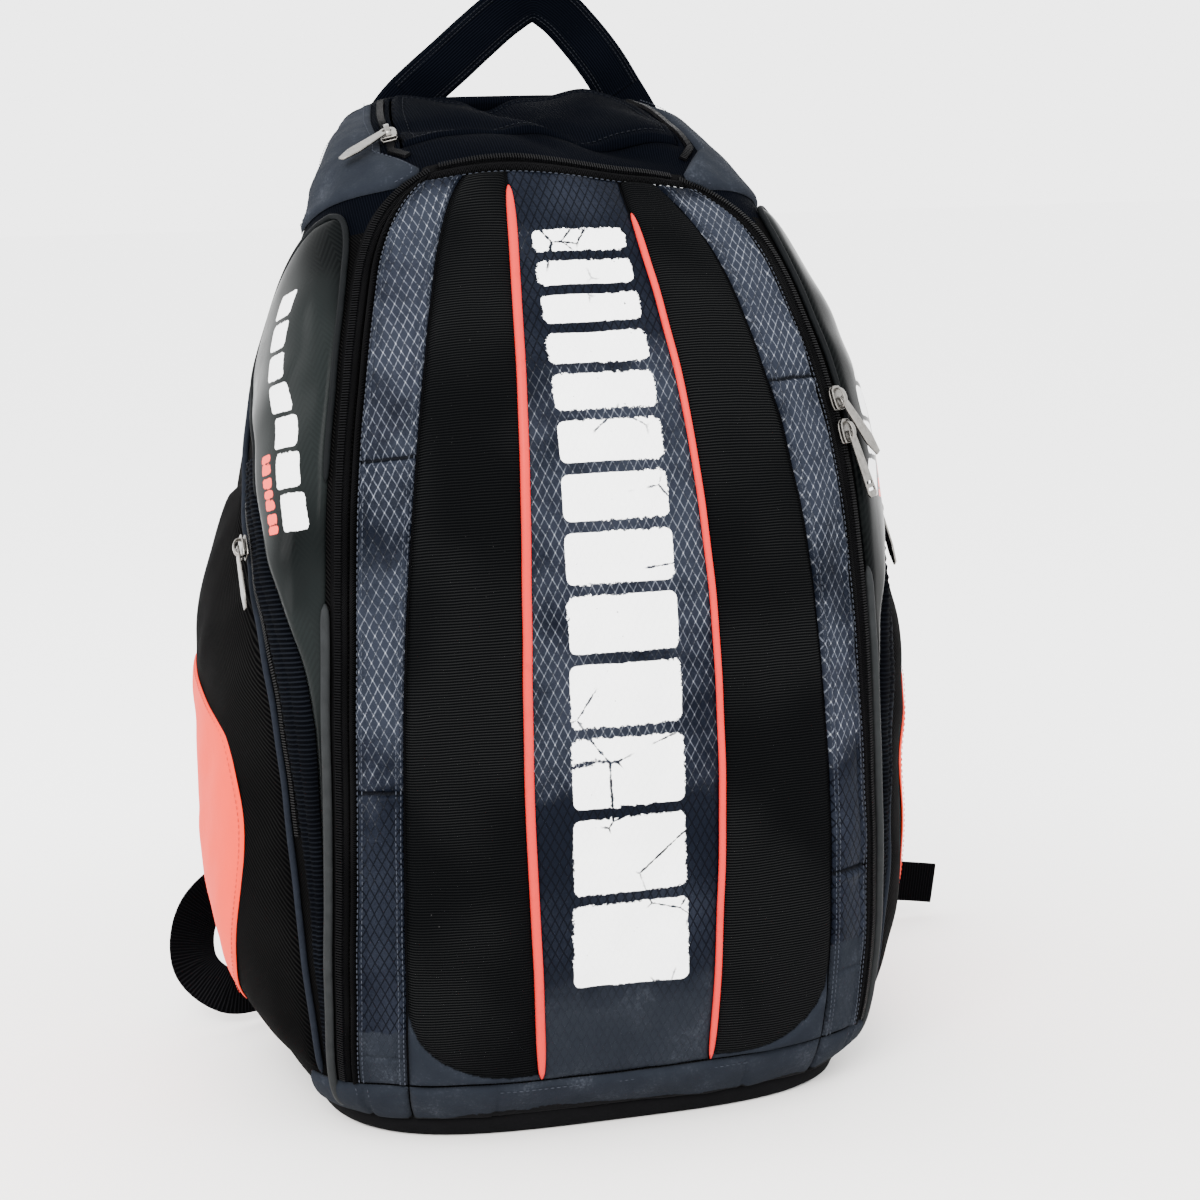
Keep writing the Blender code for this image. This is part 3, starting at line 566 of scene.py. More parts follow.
# ---------------------------------------------------------------- materials
class Finish:
    """A procedural node material under construction."""

    def __init__(self, name, roughness, metallic=0.0, sheen=0.0, specular=0.05):
        self.material = bpy.data.materials.new(name)
        self.material.use_nodes = True
        self.tree = self.material.node_tree
        self.shader = self.tree.nodes["Principled BSDF"]
        for key, value in (("Roughness", roughness), ("Metallic", metallic), ("Sheen Weight", sheen),
                           ("Sheen Roughness", 0.45), ("Specular IOR Level", specular)):
            self.shader.inputs[key].default_value = value
        self.last_bump = None

    def node(self, kind, values=(), out=0, **settings):
        made = self.tree.nodes.new(kind)
        for key, value in settings.items():
            setattr(made, key, value)
        for key, value in (values.items() if isinstance(values, dict) else enumerate(values)):
            if isinstance(value, bpy.types.NodeSocket):
                self.tree.links.new(value, made.inputs[key])
            else:
                made.inputs[key].default_value = value
        return made.outputs[out]

    def math(self, operation, a, b=0.0):
        return self.node("ShaderNodeMath", (a, b), operation=operation)

    def add(self, a, b):
        return self.math("ADD", a, b)

    def times(self, a, b):
        return self.math("MULTIPLY", a, b)

    def split(self, vector):
        made = self.tree.nodes.new("ShaderNodeSeparateXYZ")
        self.tree.links.new(vector, made.inputs[0])
        return made.outputs[0], made.outputs[1]

    def uv(self):
        return self.split(self.node("ShaderNodeUVMap", uv_map="chart"))

    def spot(self):
        return self.node("ShaderNodeTexCoord", out=3)

    def noise(self, size, detail=3.0, rough=0.55):
        return self.node("ShaderNodeTexNoise", {"Vector": self.spot(), "Scale": 1.0 / size, "Detail": detail,
                                                "Roughness": rough})

    def wander(self, size, detail, reach, rough=0.55):
        """Noise about zero, reach across."""
        return self.times(self.math("SUBTRACT", self.noise(size, detail, rough), 0.5), reach)

    def span(self, x, low, high, a=0.0, b=1.0):
        return self.node("ShaderNodeMapRange", {"Value": x, "From Min": low, "From Max": high, "To Min": a,
                                                "To Max": b}, interpolation_type="SMOOTHSTEP")

    def mix(self, share, a, b):
        a, b = [x if isinstance(x, bpy.types.NodeSocket) else (*x, 1.0) for x in (a, b)]
        return self.node("ShaderNodeMix", {0: share, 6: a, 7: b}, out=2, data_type="RGBA")

    def mark(self, name):
        return self.node("ShaderNodeAttribute", attribute_name=name, out=2)

    def inside(self, name, soft, wander):
        """1 where the mark is above zero, with a wandering edge."""
        return self.span(self.add(self.mark(name), wander), -soft, soft)

    def lines(self, x, share):
        """1 on whole numbers of x, 0 between; share is the line's part of the pitch."""
        far = self.times(self.math("PINGPONG", x, 0.5), 2.0)
        return self.span(far, share, share * 2.1, 1.0, 0.0)

    def colour(self, value):
        self.tree.links.new(value, self.shader.inputs["Base Color"])

    def rough(self, value):
        self.tree.links.new(value, self.shader.inputs["Roughness"])

    def relief(self, height, distance, strength):
        """Bump of a height from 0 to 1 over a distance in metres, on top of earlier ones."""
        values = {"Height": height, "Distance": distance, "Strength": strength}
        if self.last_bump:
            values["Normal"] = self.last_bump
        self.last_bump = self.node("ShaderNodeBump", values)
        self.tree.links.new(self.last_bump, self.shader.inputs["Normal"])


DIAMOND_WIDE, DIAMOND_TALL = 0.0042, 0.0080


def suede_colour(f):
    """Worn navy cloth with pale fuzz; returns its colour and its height."""
    fuzz = f.noise(0.0013, 4, 0.7)
    patch = f.noise(0.022, 4, 0.6)
    tone = f.mix(patch, (0.0048, 0.0060, 0.0086), (0.0118, 0.0138, 0.0182))
    pale = f.span(f.add(f.times(fuzz, 0.6), f.times(patch, 0.55)), 0.60, 0.86)
    tone = f.mix(f.times(pale, 0.75), tone, (0.034, 0.038, 0.047))
    return tone, fuzz


def rib_colour(f):
    """Fine ribs across the cloth; returns its colour and its height."""
    u, w = f.uv()
    rib = f.lines(f.math("DIVIDE", f.add(w, f.times(f.noise(0.02, 1), 0.0012)), 0.0013), 0.30)
    lit = f.span(f.noise(0.11, 2), 0.42, 0.62)
    knit = f.lines(f.math("DIVIDE", u, 0.0011), 0.4)
    tone = f.mix(f.times(rib, f.add(f.times(lit, 0.55), 0.35)),
                 (0.0006, 0.0007, 0.0009), (0.0068, 0.0070, 0.0072))
    dust = f.span(f.noise(0.0016, 2, 0.7), 0.74, 0.80)
    tone = f.mix(f.times(dust, 0.08), tone, (0.2, 0.2, 0.2))
    return tone, f.add(rib, f.times(knit, 0.25))


def ripstop_colour(f, low, high):
    """Diamond ripstop with a painted sheen: its threads are painted pale as highlights, mostly between two
    heights, with painted glints where they cross; returns colour and height.
    """
    u, w = f.uv()
    bend = f.wander(0.03, 2, 0.0022)
    across = f.math("DIVIDE", f.add(u, bend), DIAMOND_WIDE)
    up = f.math("DIVIDE", f.add(w, bend), DIAMOND_TALL)
    rise = f.lines(f.add(across, up), 0.095)
    fall = f.lines(f.math("SUBTRACT", across, up), 0.095)
    line = f.math("MAXIMUM", rise, fall)
    # Painted highlight: this band between low and high, with noise patches, decides where the threads turn pale.
    highlight_band = f.times(f.span(w, low - 0.02, low + 0.03), f.span(w, high - 0.03, high + 0.02, 1.0, 0.0))
    where = f.add(f.times(f.noise(0.045, 3, 0.6), 0.7), f.times(highlight_band, 0.24))
    shine = f.span(where, 0.43, 0.68)
    weave = f.noise(0.0011, 2, 0.6)
    # The cells are painted lighter where the painted highlight falls.
    lift = f.span(f.add(f.noise(0.07, 2), f.add(f.times(weave, 0.3), f.times(shine, 0.35))), 0.55, 1.05)
    cell = f.mix(lift, (0.0016, 0.0024, 0.0050), (0.0100, 0.0122, 0.0185))
    pale = f.times(shine, f.span(f.noise(0.0022, 2, 0.7), 0.36, 0.58, 0.25, 1.0))
    thread = f.mix(pale, (0.0006, 0.0009, 0.0020), (0.078, 0.086, 0.106))
    tone = f.mix(f.times(line, 0.85), cell, thread)
    # Painted glints where pale threads cross.
    tone = f.mix(f.times(f.times(f.times(rise, fall), pale), 0.8), tone, (0.22, 0.23, 0.25))
    return tone, f.add(line, f.times(weave, 0.3))


def make_ripstop(name, low, high):
    """Ripstop with a worn foot and painted shade along its cross seams."""
    f = Finish(name, 0.52, specular=0.025)
    cloth, height = ripstop_colour(f, low, high)
    worn, fuzz = suede_colour(f)
    share = f.inside("suede", 0.0006, f.wander(0.004, 3, 0.004))
    # Painted shade: the cloth darkens to near black within a millimetre or two of the cross seams' creases.
    gap = f.math("ABSOLUTE", f.add(f.mark("fold"), f.wander(0.007, 3, 0.0014)))
    shade = f.span(gap, 0.0004, 0.0016, 0.9, 0.0)
    f.colour(f.mix(shade, f.mix(share, cloth, worn), (0.0005, 0.0007, 0.0014)))
    f.rough(f.span(share, 0, 1, 0.50, 0.92))
    f.relief(f.noise(0.006, 3, 0.6), 0.0011, 0.5)
    f.relief(height, 0.00035, 0.7)
    f.relief(fuzz, 0.0006, 0.25)
    return f.material


def make_print():
    """The centre panel's ripstop with a worn white block print."""
    f = Finish("printed_ripstop", 0.5, specular=0.025)
    # The ripstop's painted sheen falls mostly between 0.17 and 0.38 m up.
    cloth, height = ripstop_colour(f, 0.17, 0.38)
    worn, _fuzz = suede_colour(f)
    tail = f.span(f.add(f.mark("suede"), f.wander(0.012, 3, 0.02)), -0.02, 0.012)
    ground = f.mix(f.times(tail, 0.85), cloth, worn)
    rough_side = f.span(f.noise(0.03, 1), 0.40, 0.54, 0.15, 1.0)
    inside = f.inside("print", 0.00012, f.times(f.wander(0.0026, 4, 0.0058, 0.75), rough_side))
    cells = f.node("ShaderNodeTexVoronoi", {"Vector": f.spot(), "Scale": 1 / 0.034, "Randomness": 1.0},
                   feature="DISTANCE_TO_EDGE")
    crack_line = f.span(f.add(cells, f.wander(0.003, 3, 0.07, 0.8)), 0.006, 0.016, 1.0, 0.0)
    crack = f.times(crack_line, f.span(f.noise(0.045, 2), 0.52, 0.56))
    speck = f.span(f.noise(0.0032, 3, 0.8), 0.715, 0.73)
    kept = f.times(inside, f.math("SUBTRACT", 1.0, f.math("MAXIMUM", crack, speck)))
    chalk = f.mix(f.noise(0.02, 2), (0.80, 0.81, 0.82), (0.90, 0.91, 0.91))
    f.colour(f.mix(kept, ground, chalk))
    f.rough(f.span(kept, 0, 1, 0.52, 0.62))
    f.relief(f.noise(0.007, 3, 0.6), 0.0012, 0.5)
    f.relief(f.times(height, f.math("SUBTRACT", 1.0, f.times(kept, 0.7))), 0.00035, 0.7)
    f.relief(kept, 0.0002, 0.6)
    return f.material


def make_rib():
    f = Finish("ribbed_cloth", 0.88, specular=0.01)
    cloth, height = rib_colour(f)
    worn, fuzz = suede_colour(f)
    share = f.inside("suede", 0.0004, f.wander(0.003, 3, 0.0016))
    f.colour(f.mix(share, cloth, worn))
    f.relief(f.times(height, f.math("SUBTRACT", 1.0, share)), 0.0006, 0.8)
    f.relief(fuzz, 0.0005, 0.2)
    return f.material


def make_suede():
    f = Finish("worn_navy_cloth", 0.93, sheen=0.01, specular=0.01)
    worn, fuzz = suede_colour(f)
    share = f.inside("frayed", 0.0003, f.wander(0.003, 3, 0.005, 0.7))
    f.colour(f.mix(share, worn, (0.0022, 0.0022, 0.0026)))
    f.relief(f.noise(0.009, 3, 0.6), 0.002, 0.5)
    f.relief(fuzz, 0.0008, 0.4)
    return f.material


def make_weave(name, dark, light, pitch, slant=1.0, rough=0.9, depth=0.0004, along_rows=False, dust=0.05):
    """Cloth with fine parallel ribs; slant 0 gives ribs up the cloth, large slant ribs across it."""
    f = Finish(name, rough, specular=0.01)
    u, w = f.uv()
    x = w if along_rows else f.add(u, f.times(w, slant))
    rib = f.lines(f.math("DIVIDE", f.add(x, f.times(f.noise(0.02, 1), 0.0008)), pitch), 0.28)
    lit = f.span(f.noise(0.09, 3), 0.35, 0.7)
    tone = f.mix(f.times(rib, f.add(f.times(lit, 0.6), 0.3)), dark, light)
    specks = f.span(f.noise(0.0015, 2, 0.7), 0.74, 0.80)
    f.colour(f.mix(f.times(specks, dust), tone, (0.35, 0.35, 0.36)))
    f.relief(f.noise(0.0009, 2), 0.0004, 0.4)
    f.relief(rib, depth, 0.8)
    return f.material


def make_herringbone():
    f = Finish("zip_tape_cloth", 0.85, specular=0.015)
    u, w = f.uv()
    fold = f.math("PINGPONG", u, 0.0021)
    rib = f.lines(f.math("DIVIDE", f.add(w, f.times(fold, 1.1)), 0.0011), 0.3)
    lit = f.span(f.noise(0.05, 2), 0.3, 0.7, 0.4, 1.0)
    f.colour(f.mix(f.times(rib, lit), (0.0006, 0.0006, 0.0007), (0.0050, 0.0050, 0.0054)))
    f.relief(rib, 0.0004, 0.8)
    return f.material


def make_gloss():
    """Glossy vinyl over a faint slanting weave, with painted soft reflections and a worn print in white and
    coral.
    """
    f = Finish("glossy_vinyl", 0.20, specular=0.02)
    u, w = f.uv()
    # Painted reflections: soft noise smears lighten the dark base colour.
    soft = f.span(f.noise(0.09, 2, 0.5), 0.42, 0.66)
    fold = f.math("PINGPONG", f.add(u, f.times(w, 0.15)), 0.009)
    weave = f.lines(f.math("DIVIDE", f.add(w, f.times(fold, 1.3)), 0.0034), 0.30)
    ground = f.mix(soft, (0.0005, 0.0008, 0.0009), (0.0060, 0.0074, 0.0074))
    ground = f.mix(f.times(weave, 0.35), ground, (0.0036, 0.0043, 0.0043))
    worn = f.wander(0.0022, 3, 0.0012, 0.7)
    tone = f.mix(f.inside("print", 0.0001, worn), ground, (0.74, 0.75, 0.76))
    f.colour(f.mix(f.inside("stripe", 0.0001, worn), tone, (0.62, 0.055, 0.040)))
    f.rough(f.span(f.noise(0.03, 3), 0.3, 0.75, 0.17, 0.30))
    f.relief(f.noise(0.045, 2, 0.5), 0.0012, 0.25)
    f.relief(f.noise(0.0016, 3, 0.7), 0.00012, 0.2)
    return f.material


def make_coral_cloth():
    f = Finish("coral_cloth", 0.62, specular=0.05)
    f.colour(f.mix(f.noise(0.03, 3), (0.50, 0.022, 0.008), (0.58, 0.029, 0.012)))
    f.relief(f.noise(0.0008, 2), 0.0003, 0.4)
    f.relief(f.noise(0.02, 2), 0.0014, 0.3)
    return f.material


def make_coral_cord():
    f = Finish("coral_piping", 0.42, specular=0.06)
    grime = f.span(f.noise(0.012, 4, 0.7), 0.52, 0.8)
    f.colour(f.mix(f.times(grime, 0.35), (0.42, 0.016, 0.014), (0.22, 0.010, 0.010)))
    f.relief(f.noise(0.004, 2), 0.0004, 0.3)
    return f.material


def make_plain(name, dark, light, size, rough, metallic=0.0, bump=0.0003):
    f = Finish(name, rough, metallic=metallic, specular=0.03)
    spread = f.noise(size, 4, 0.6)
    f.colour(f.mix(spread, dark, light))
    f.rough(f.span(spread, 0.3, 0.7, rough, rough + 0.12))
    f.relief(f.noise(0.0012, 3, 0.6), bump, 0.35)
    return f.material


def make_mesh_cloth():
    """Spacer mesh for the back and straps: small holes in rows."""
    f = Finish("spacer_mesh", 0.85, specular=0.015)
    place = f.node("ShaderNodeCombineXYZ", (*f.uv(), 0.0))
    cells = f.node("ShaderNodeTexVoronoi", {"Vector": place, "Scale": 1 / 0.0026, "Randomness": 0.15})
    hole = f.span(cells, 0.20, 0.34, 1.0, 0.0)
    cloth = f.mix(f.noise(0.04, 3), (0.0030, 0.0033, 0.0040), (0.0068, 0.0072, 0.0082))
    f.colour(f.mix(hole, cloth, (0.0006, 0.0006, 0.0006)))
    f.relief(f.math("SUBTRACT", 1.0, hole), 0.0008, 0.8)
    return f.material


def make_thread(name, tone, worn):
    f = Finish(name, 0.8, specular=0.05)
    f.colour(f.mix(f.noise(0.008, 2), tone, worn))
    f.relief(f.noise(0.0006, 1), 0.0001, 0.5)
    return f.material


def make_stage_floor():
    f = Finish("pale_floor", 0.75, specular=0.25)
    x, y = f.split(f.spot())
    depth = f.add(f.times(y, 0.966), f.times(x, 0.26))
    f.colour(f.mix(f.span(depth, 0.10, 0.60), (0.87, 0.85, 0.835), (0.955, 0.955, 0.955)))
    f.relief(f.noise(0.05, 2), 0.0005, 0.1)
    return f.material


PRINT = make_print()
# Band ripstop with its painted sheen mostly between 0.16 and 0.47 m up.
BAND = make_ripstop("band_ripstop", 0.16, 0.47)
RIB = make_rib()
SUEDE = make_suede()
KNIT = make_weave("black_knit", (0.0003, 0.0005, 0.0011), (0.0020, 0.0026, 0.0046), 0.0013, 0.0, dust=0.03)
TWILL = make_weave("black_twill", (0.0005, 0.0005, 0.0006), (0.0050, 0.0049, 0.0048), 0.0017, 0.75)
ELASTIC = make_weave("elastic_rib", (0.0005, 0.0006, 0.0010), (0.0040, 0.0048, 0.0066), 0.0021,
                     along_rows=True, depth=0.0009)
LINING = make_weave("lining", (0.0014, 0.0014, 0.0017), (0.0040, 0.0040, 0.0046), 0.0007, rough=0.7)
WEB = make_weave("strap_webbing", (0.0006, 0.0006, 0.0008), (0.0044, 0.0044, 0.0050), 0.0016,
                 along_rows=True, depth=0.0007)
TAPE_CLOTH = make_herringbone()
GLOSS = make_gloss()
CORAL = make_coral_cloth()
CORAL_CORD = make_coral_cord()
GREY_CORD = make_plain("grey_piping", (0.0060, 0.0068, 0.0072), (0.0160, 0.0172, 0.0180), 0.006, 0.55,
                       bump=0.0005)
NAVY_CORD = make_plain("navy_piping", (0.0022, 0.0030, 0.0050), (0.0090, 0.0110, 0.0155), 0.003, 0.7,
                       bump=0.0005)
BLACK_PIPE = make_plain("black_piping", (0.0010, 0.0013, 0.0015), (0.0042, 0.0048, 0.0054), 0.005, 0.55,
                        bump=0.0004)
COIL = make_plain("zip_coil", (0.0008, 0.0008, 0.0010), (0.0030, 0.0030, 0.0034), 0.004, 0.35)
NICKEL = make_plain("nickel", (0.040, 0.038, 0.035), (0.23, 0.22, 0.205), 0.0028, 0.24, metallic=1.0,
                    bump=0.00012)
PLASTIC = make_plain("buckle_plastic", (0.0040, 0.0040, 0.0045), (0.0070, 0.0070, 0.0075), 0.01, 0.42)
BOARD = make_plain("base_cloth", (0.0010, 0.0010, 0.0012), (0.0034, 0.0034, 0.0038), 0.01, 0.8, bump=0.0006)
MESH = make_mesh_cloth()
BLACK_THREAD = make_thread("black_thread", (0.0024, 0.0028, 0.0040), (0.0080, 0.0090, 0.0115))
GREY_THREAD = make_thread("grey_thread", (0.0075, 0.0095, 0.0145), (0.036, 0.040, 0.050))
PALE_THREAD = make_thread("pale_thread", (0.12, 0.125, 0.13), (0.30, 0.31, 0.32))


# ---------------------------------------------------------------- the fixed body
FIXED_IN = shifted(lid_edge, TAPE + ZIP_GAP)
LID_OUT = shifted(lid_edge, TAPE)
ZIP_MIDDLE = shifted(lid_edge, COIL_AT)
SIDES = ((1, "right"), (-1, "left"))
BACK_CELLS, SIDE_CELLS, FRONT_CELLS = 29, 59, 69


def make_wall():
    vs = rows_of(0.0, 10.0, 0.0040, UP_FRONT, (1.02, TOP_TAPE_FROM, 8.1, 9.88))
    rows = []
    for v in vs:
        stops = [-half_round(v), -back_edge(v), -FIXED_IN(v), FIXED_IN(v), back_edge(v), half_round(v)]
        cells = (BACK_CELLS, SIDE_CELLS, FRONT_CELLS, SIDE_CELLS, BACK_CELLS)
        rows.append(np.concatenate([np.linspace(a, b, n + 1)[1:] for a, b, n in zip(stops, stops[1:], cells)]))
    S = np.array(rows)
    first = BACK_CELLS + SIDE_CELLS - 1
    keep = np.ones((len(vs) - 1, S.shape[1]), bool)
    open_rows = np.array([(a > 1.01 and b < TOP_TAPE_FROM + 0.001) or (a > 8.09 and b < 9.881)
                          for a, b in zip(vs, vs[1:])])
    keep[np.ix_(open_rows, np.arange(first, first + FRONT_CELLS))] = False
    made = shell_mesh("body_wall", vs, S, 0.0, -SHELL, UP_SIDE, keep=keep, loop=True)
    centres = np.empty(len(made.data.polygons) * 3)
    made.data.polygons.foreach_get("center", centres)
    place_piece(made, "root", ("main_shell",), (TWILL, KNIT))
    made.data.polygons.foreach_set("material_index", (centres[2::3] > 0.43).astype(int))


def plate_frame(v):
    """Centre and normal of the flat plate that closes one section."""
    points = section(v)[0]
    n = np.cross(points[0] - points[-1], (1.0, 0, 0))
    return (points[0] + points[-1]) / 2, n / np.linalg.norm(n)


def radial_plate(name, v, profile, turns=160):
    """A closed cap inside one section: profile gives (share of the way out, offset) pairs."""
    rim = at(v, np.linspace(-half_round(v), half_round(v), turns + 1)[:-1])
    centre, n = plate_frame(v)
    verts = np.concatenate([centre + (rim - centre) * share + n * offset for share, offset in profile]
                           + [[centre + n * profile[0][1], centre + n * profile[-1][1]]])
    uv = np.stack([verts[:, 0], verts[:, 1] + verts[:, 2]], 1)
    uv[-2:] = (0, centre[1] + centre[2])
    last = (len(profile) - 1) * turns
    faces = []
    for j in range(turns):
        k = (j + 1) % turns
        faces += [[row + j, row + k, row + turns + k, row + turns + j] for row in range(0, last, turns)]
        faces += [[last + turns, k, j], [last + turns + 1, last + j, last + k]]
    made = new_piece(name, verts, faces, uv)
    faces_outward(made.data)
    return made


def make_base():
    # The section's plane faces down here: offsets run from the wall's foot to the floor.
    made = radial_plate("base_cloth", 0.0, [(0.2, 0.0012), (0.9, 0.0012), (0.985, 0.0012), (1.0, -0.0004),
                                            (1.003, -0.003), (1.0, -0.0062), (0.992, -0.0085),
                                            (0.975, -0.0098), (0.95, -0.0100), (0.6, -0.0100),
                                            (0.2, -0.0100)])
    floor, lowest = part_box("base_panel")[0].z, min(v.co.z for v in made.data.vertices)
    if lowest < floor - 1e-4:
        made.data.transform(Matrix.Translation((0, 0, floor - lowest)))
    place_piece(made, "root", ("base_panel",), BOARD)


def make_yoke():
    made = radial_plate("yoke_cloth", 10.0, [(0.2, -0.0030), (0.9, -0.0030), (1.0, -0.0014), (1.004, 0.0006),
                                             (0.99, 0.0018), (0.95, 0.0022), (0.90, 0.0014), (0.84, 0.0022),
                                             (0.6, 0.0030), (0.2, 0.0034)])
    place_piece(made, "root", ("back_yoke",), KNIT)
    rim = at(10.0, np.linspace(-half_round(10.0), half_round(10.0), 200))
    centre, n = plate_frame(10.0)
    line = centre + (rim - centre) * 0.90 + n * 0.0018
    stitches("yoke_stitching", "root", [(line, np.tile(n, (len(line), 1)))], BLACK_THREAD)


def foot_panel(name, grid, seam_at, depth, node):
    """A low patch of worn cloth with one sewn line and a frayed lower edge."""
    base = base_points(grid)
    seam = -depth * np.exp(-((np.abs(grid.S) - seam_at) / 0.0012) ** 2)
    lumps = 0.0010 * waves(base, 0.035, 9) + 0.0004 * waves(base, 0.012, 10)
    fray = (0.0060 + 0.0034 * waves(base, 0.05, 21) + 0.0016 * waves(base, 0.012, 22)
            - height_of(grid.v, UP_FRONT))
    fabric_panel(name, grid, 0.0026, 0.004, "root", (node,), SUEDE, extra=seam + lumps,
                 marks={"frayed": fray})


def make_foot():
    """Bottom band and corner patches."""
    edge = shifted(rib_edge, -0.0004)
    grid = Grid(mirrored(edge), edge, 0.02, 1.02, UP_FRONT, 0.0016)
    foot_panel("bottom_band_cloth", grid, 0.062, 0.0012, "bottom_band")
    for side, word in SIDES:
        grid = Grid(shifted(rib_edge, 0.0004), shifted(side_in, 0.020), 0.02, 1.02, UP_FRONT, 0.0016, side=side)
        foot_panel(f"corner_cloth_{word}", grid, column(shifted(lid_edge, -0.002), grid.vs), 0.0014,
                   f"corner_patch_{word}")
    runs = [row_on(0.93, -0.062, 0.062, 0.0024)]
    for step in (-0.0048, 0.0012):
        runs += both_sides(shifted(lid_edge, step), 0.25, 1.0, 0.0026)
    stitches("foot_stitching", "root", runs, GREY_THREAD)


def tape_part(start, stop, low, high, pitch, rise, radius, side=0):
    """Zip tape rounded along its edges: on one side, or across the middle where side is 0."""
    grid = Grid(start, stop, low, high, UP_FRONT, pitch, side=side or 1)
    near = grid.across if side else grid.ends
    return shell_mesh("tape_part", grid.vs, grid.S, 0.0006 + rise * rounding(near, radius), GAP, UP_FRONT)


def make_fixed_tape():
    parts = [tape_part(FIXED_IN, tape_out, LID_FROM, TOP_TAPE_TO, 0.0021, 0.0006, 0.0025, side)
             for side, _ in SIDES]
    parts.append(tape_part(mirrored(FIXED_IN), FIXED_IN, TOP_TAPE_FROM, TOP_TAPE_TO, 0.0016, 0.0006, 0.0020))
    place_piece(join("fixed_zip_tape", parts), "root", ("front_zip_tape",), TAPE_CLOTH)


def coil_run(name, runs):
    """Zip coil: short ribs lying across the tape."""
    corners = ((-1, -1), (1, -1), (1, 1), (-1, 1))
    shape = [(0.5 * x, y, 0) for x, y in corners] + [(0.34 * x, 0.8 * y, 1) for x, y in corners]
    quads = [(0, 1, 2, 3), (7, 6, 5, 4), (4, 5, 1, 0), (5, 6, 2, 1), (6, 7, 3, 2), (7, 4, 0, 3)]
    laid = []
    for points, normals in runs:
        p, n, _ = resample(points, normals, 0.0013)
        laid.append((p, *frames(p, n)))
    verts, faces = stamped(laid, np.array(shape) * (0.00085, 0.0021, 0.0015), quads)
    place_piece(new_piece(name, verts, faces, smooth=False), "root", (), COIL)


def make_coils():
    reach = lid_edge(7.57) + 0.004
    across = row_on(7.5725, -reach, reach, 0.0009)
    coil_run("front_zip_coil", both_sides(ZIP_MIDDLE, LID_FROM + 0.03, 7.53, 0.0009) + [across])
    coil_run("main_zip_coil", both_sides(ZIP_MIDDLE, 7.9, 9.7, 0.0005))
    coil_run("pocket_zip_coils", both_sides(shifted(pocket_seam, -0.008), 2.9, 5.0, 0.0009))


def lens_room(v):
    return pocket_seam(v) - side_in(v)


def band_in(v):
    return pocket_seam(v) - min(0.031, 0.8 * lens_room(v))


def band_out(v):
    return pocket_seam(v) - min(0.0105, 0.42 * lens_room(v))


LENS_FROM, LENS_TO = 1.9, 7.22


def lens_front(v):
    q = min(max((v - 6.1) / (LENS_TO - 6.1), 0), 1)
    return side_in(v) + 0.0016 + 0.34 * lens_room(v) * (1 - math.sqrt(1 - q ** 3 * 0.999))


def lens_back(v):
    q = min(max((v - 5.9) / (LENS_TO - 5.9), 0), 1)
    low = min(max((LENS_FROM + 0.9 - v) / 0.9, 0), 1)
    whole = (band_in(v) + (pocket_seam(v) - band_in(v)) * smoothstep((v - 5.3) / 0.7)) - 0.0012 - lens_front(v)
    return lens_front(v) + max(whole, 0.0006) * math.sqrt(max(1 - q ** 2.4, 0.0004)) * (1 - 0.85 * low)


def pocket_bump(v, s):
    seams = shifted(pocket_seam, 0.0034), shifted(back_edge, -0.002)
    low, high = [column(seam, v[:, 0]) for seam in seams]
    across = np.clip((np.abs(s) - low) / (high - low), 0, 1)
    up = np.clip((v - POCKET_FROM) / (POCKET_TO - POCKET_FROM), 0, 1)
    return BULGE * (1 - np.abs(2 * across - 1) ** 2.6) * (1 - np.abs(2 * up - 1) ** 2.2)


def print_row(grid, first, lean, foot, count, wide, high, shrink, gap, radius):
    """Distance into a row of blocks up a panel, leaning across it; positive inside."""
    away = (grid.t - 0.5) * grid.width
    best = np.full(away.shape, -1.0)
    for i in range(count):
        tall = high * shrink ** i
        best = np.maximum(best, block(away, grid.w, first + lean * i, foot + tall / 2, wide, tall, radius))
        foot += tall + gap
    return best


def pocket_folds(grid):
    where = base_points(grid)
    folds = 0.0011 * waves(where * np.array((1, 1, 0.5)), 0.045, 51) + 0.0005 * waves(where, 0.018, 52)
    return folds * rounding(grid.edge, 0.015)


def make_sides():
    for side, word in SIDES:
        grid = Grid(lens_front, lens_back, LENS_FROM, LENS_TO, UP_SIDE, 0.0020, side=side)
        where = base_points(grid)
        swell = 0.0011 * waves(where, 0.075, 31) + 0.00018 * waves(where, 0.020, 32)
        marks = {"print": print_row(grid, -0.009, 0.0015, 0.204, 7, 0.0150, 0.0160, 0.95, 0.0026, 0.0016),
                 "stripe": print_row(grid, 0.0068, 0.0005, 0.204, 7, 0.0090, 0.0036, 1.0, 0.0017, 0.0008)}
        fabric_panel(f"glossy_panel_{word}", grid, 0.0032, 0.006, "root", (f"side_panel_{word}",), GLOSS,
                     extra=swell * rounding(grid.edge, 0.008), marks=marks)
        grid = Grid(band_in, band_out, 1.15, 5.30, UP_SIDE, 0.0017, side=side)
        gather = 0.0005 * np.sin(2 * np.pi * grid.w / 0.0044) * rounding(grid.across, 0.003)
        gather = gather + 0.0005 * waves(base_points(grid), 0.02, 41)
        groove = -0.0009 * np.exp(-((grid.t - 0.5) * grid.width / 0.0012) ** 2)
        fabric_panel(f"elastic_band_{word}", grid, 0.0034, 0.005, "root", (), ELASTIC,
                     extra=gather + groove)
        grid = Grid(shifted(pocket_seam, 0.0034), shifted(back_edge, -0.002), POCKET_FROM, POCKET_TO, UP_SIDE,
                    0.0030, side=side)
        fabric_panel(f"pocket_cloth_{word}", grid, 0.0026, 0.006, "root", (f"side_pocket_{word}",), TWILL,
                     extra=pocket_folds(grid), bump=pocket_bump(grid.v, grid.S))
        make_coral(side, word)
        make_side_cords(side, word)
        make_shoulder(side, word)


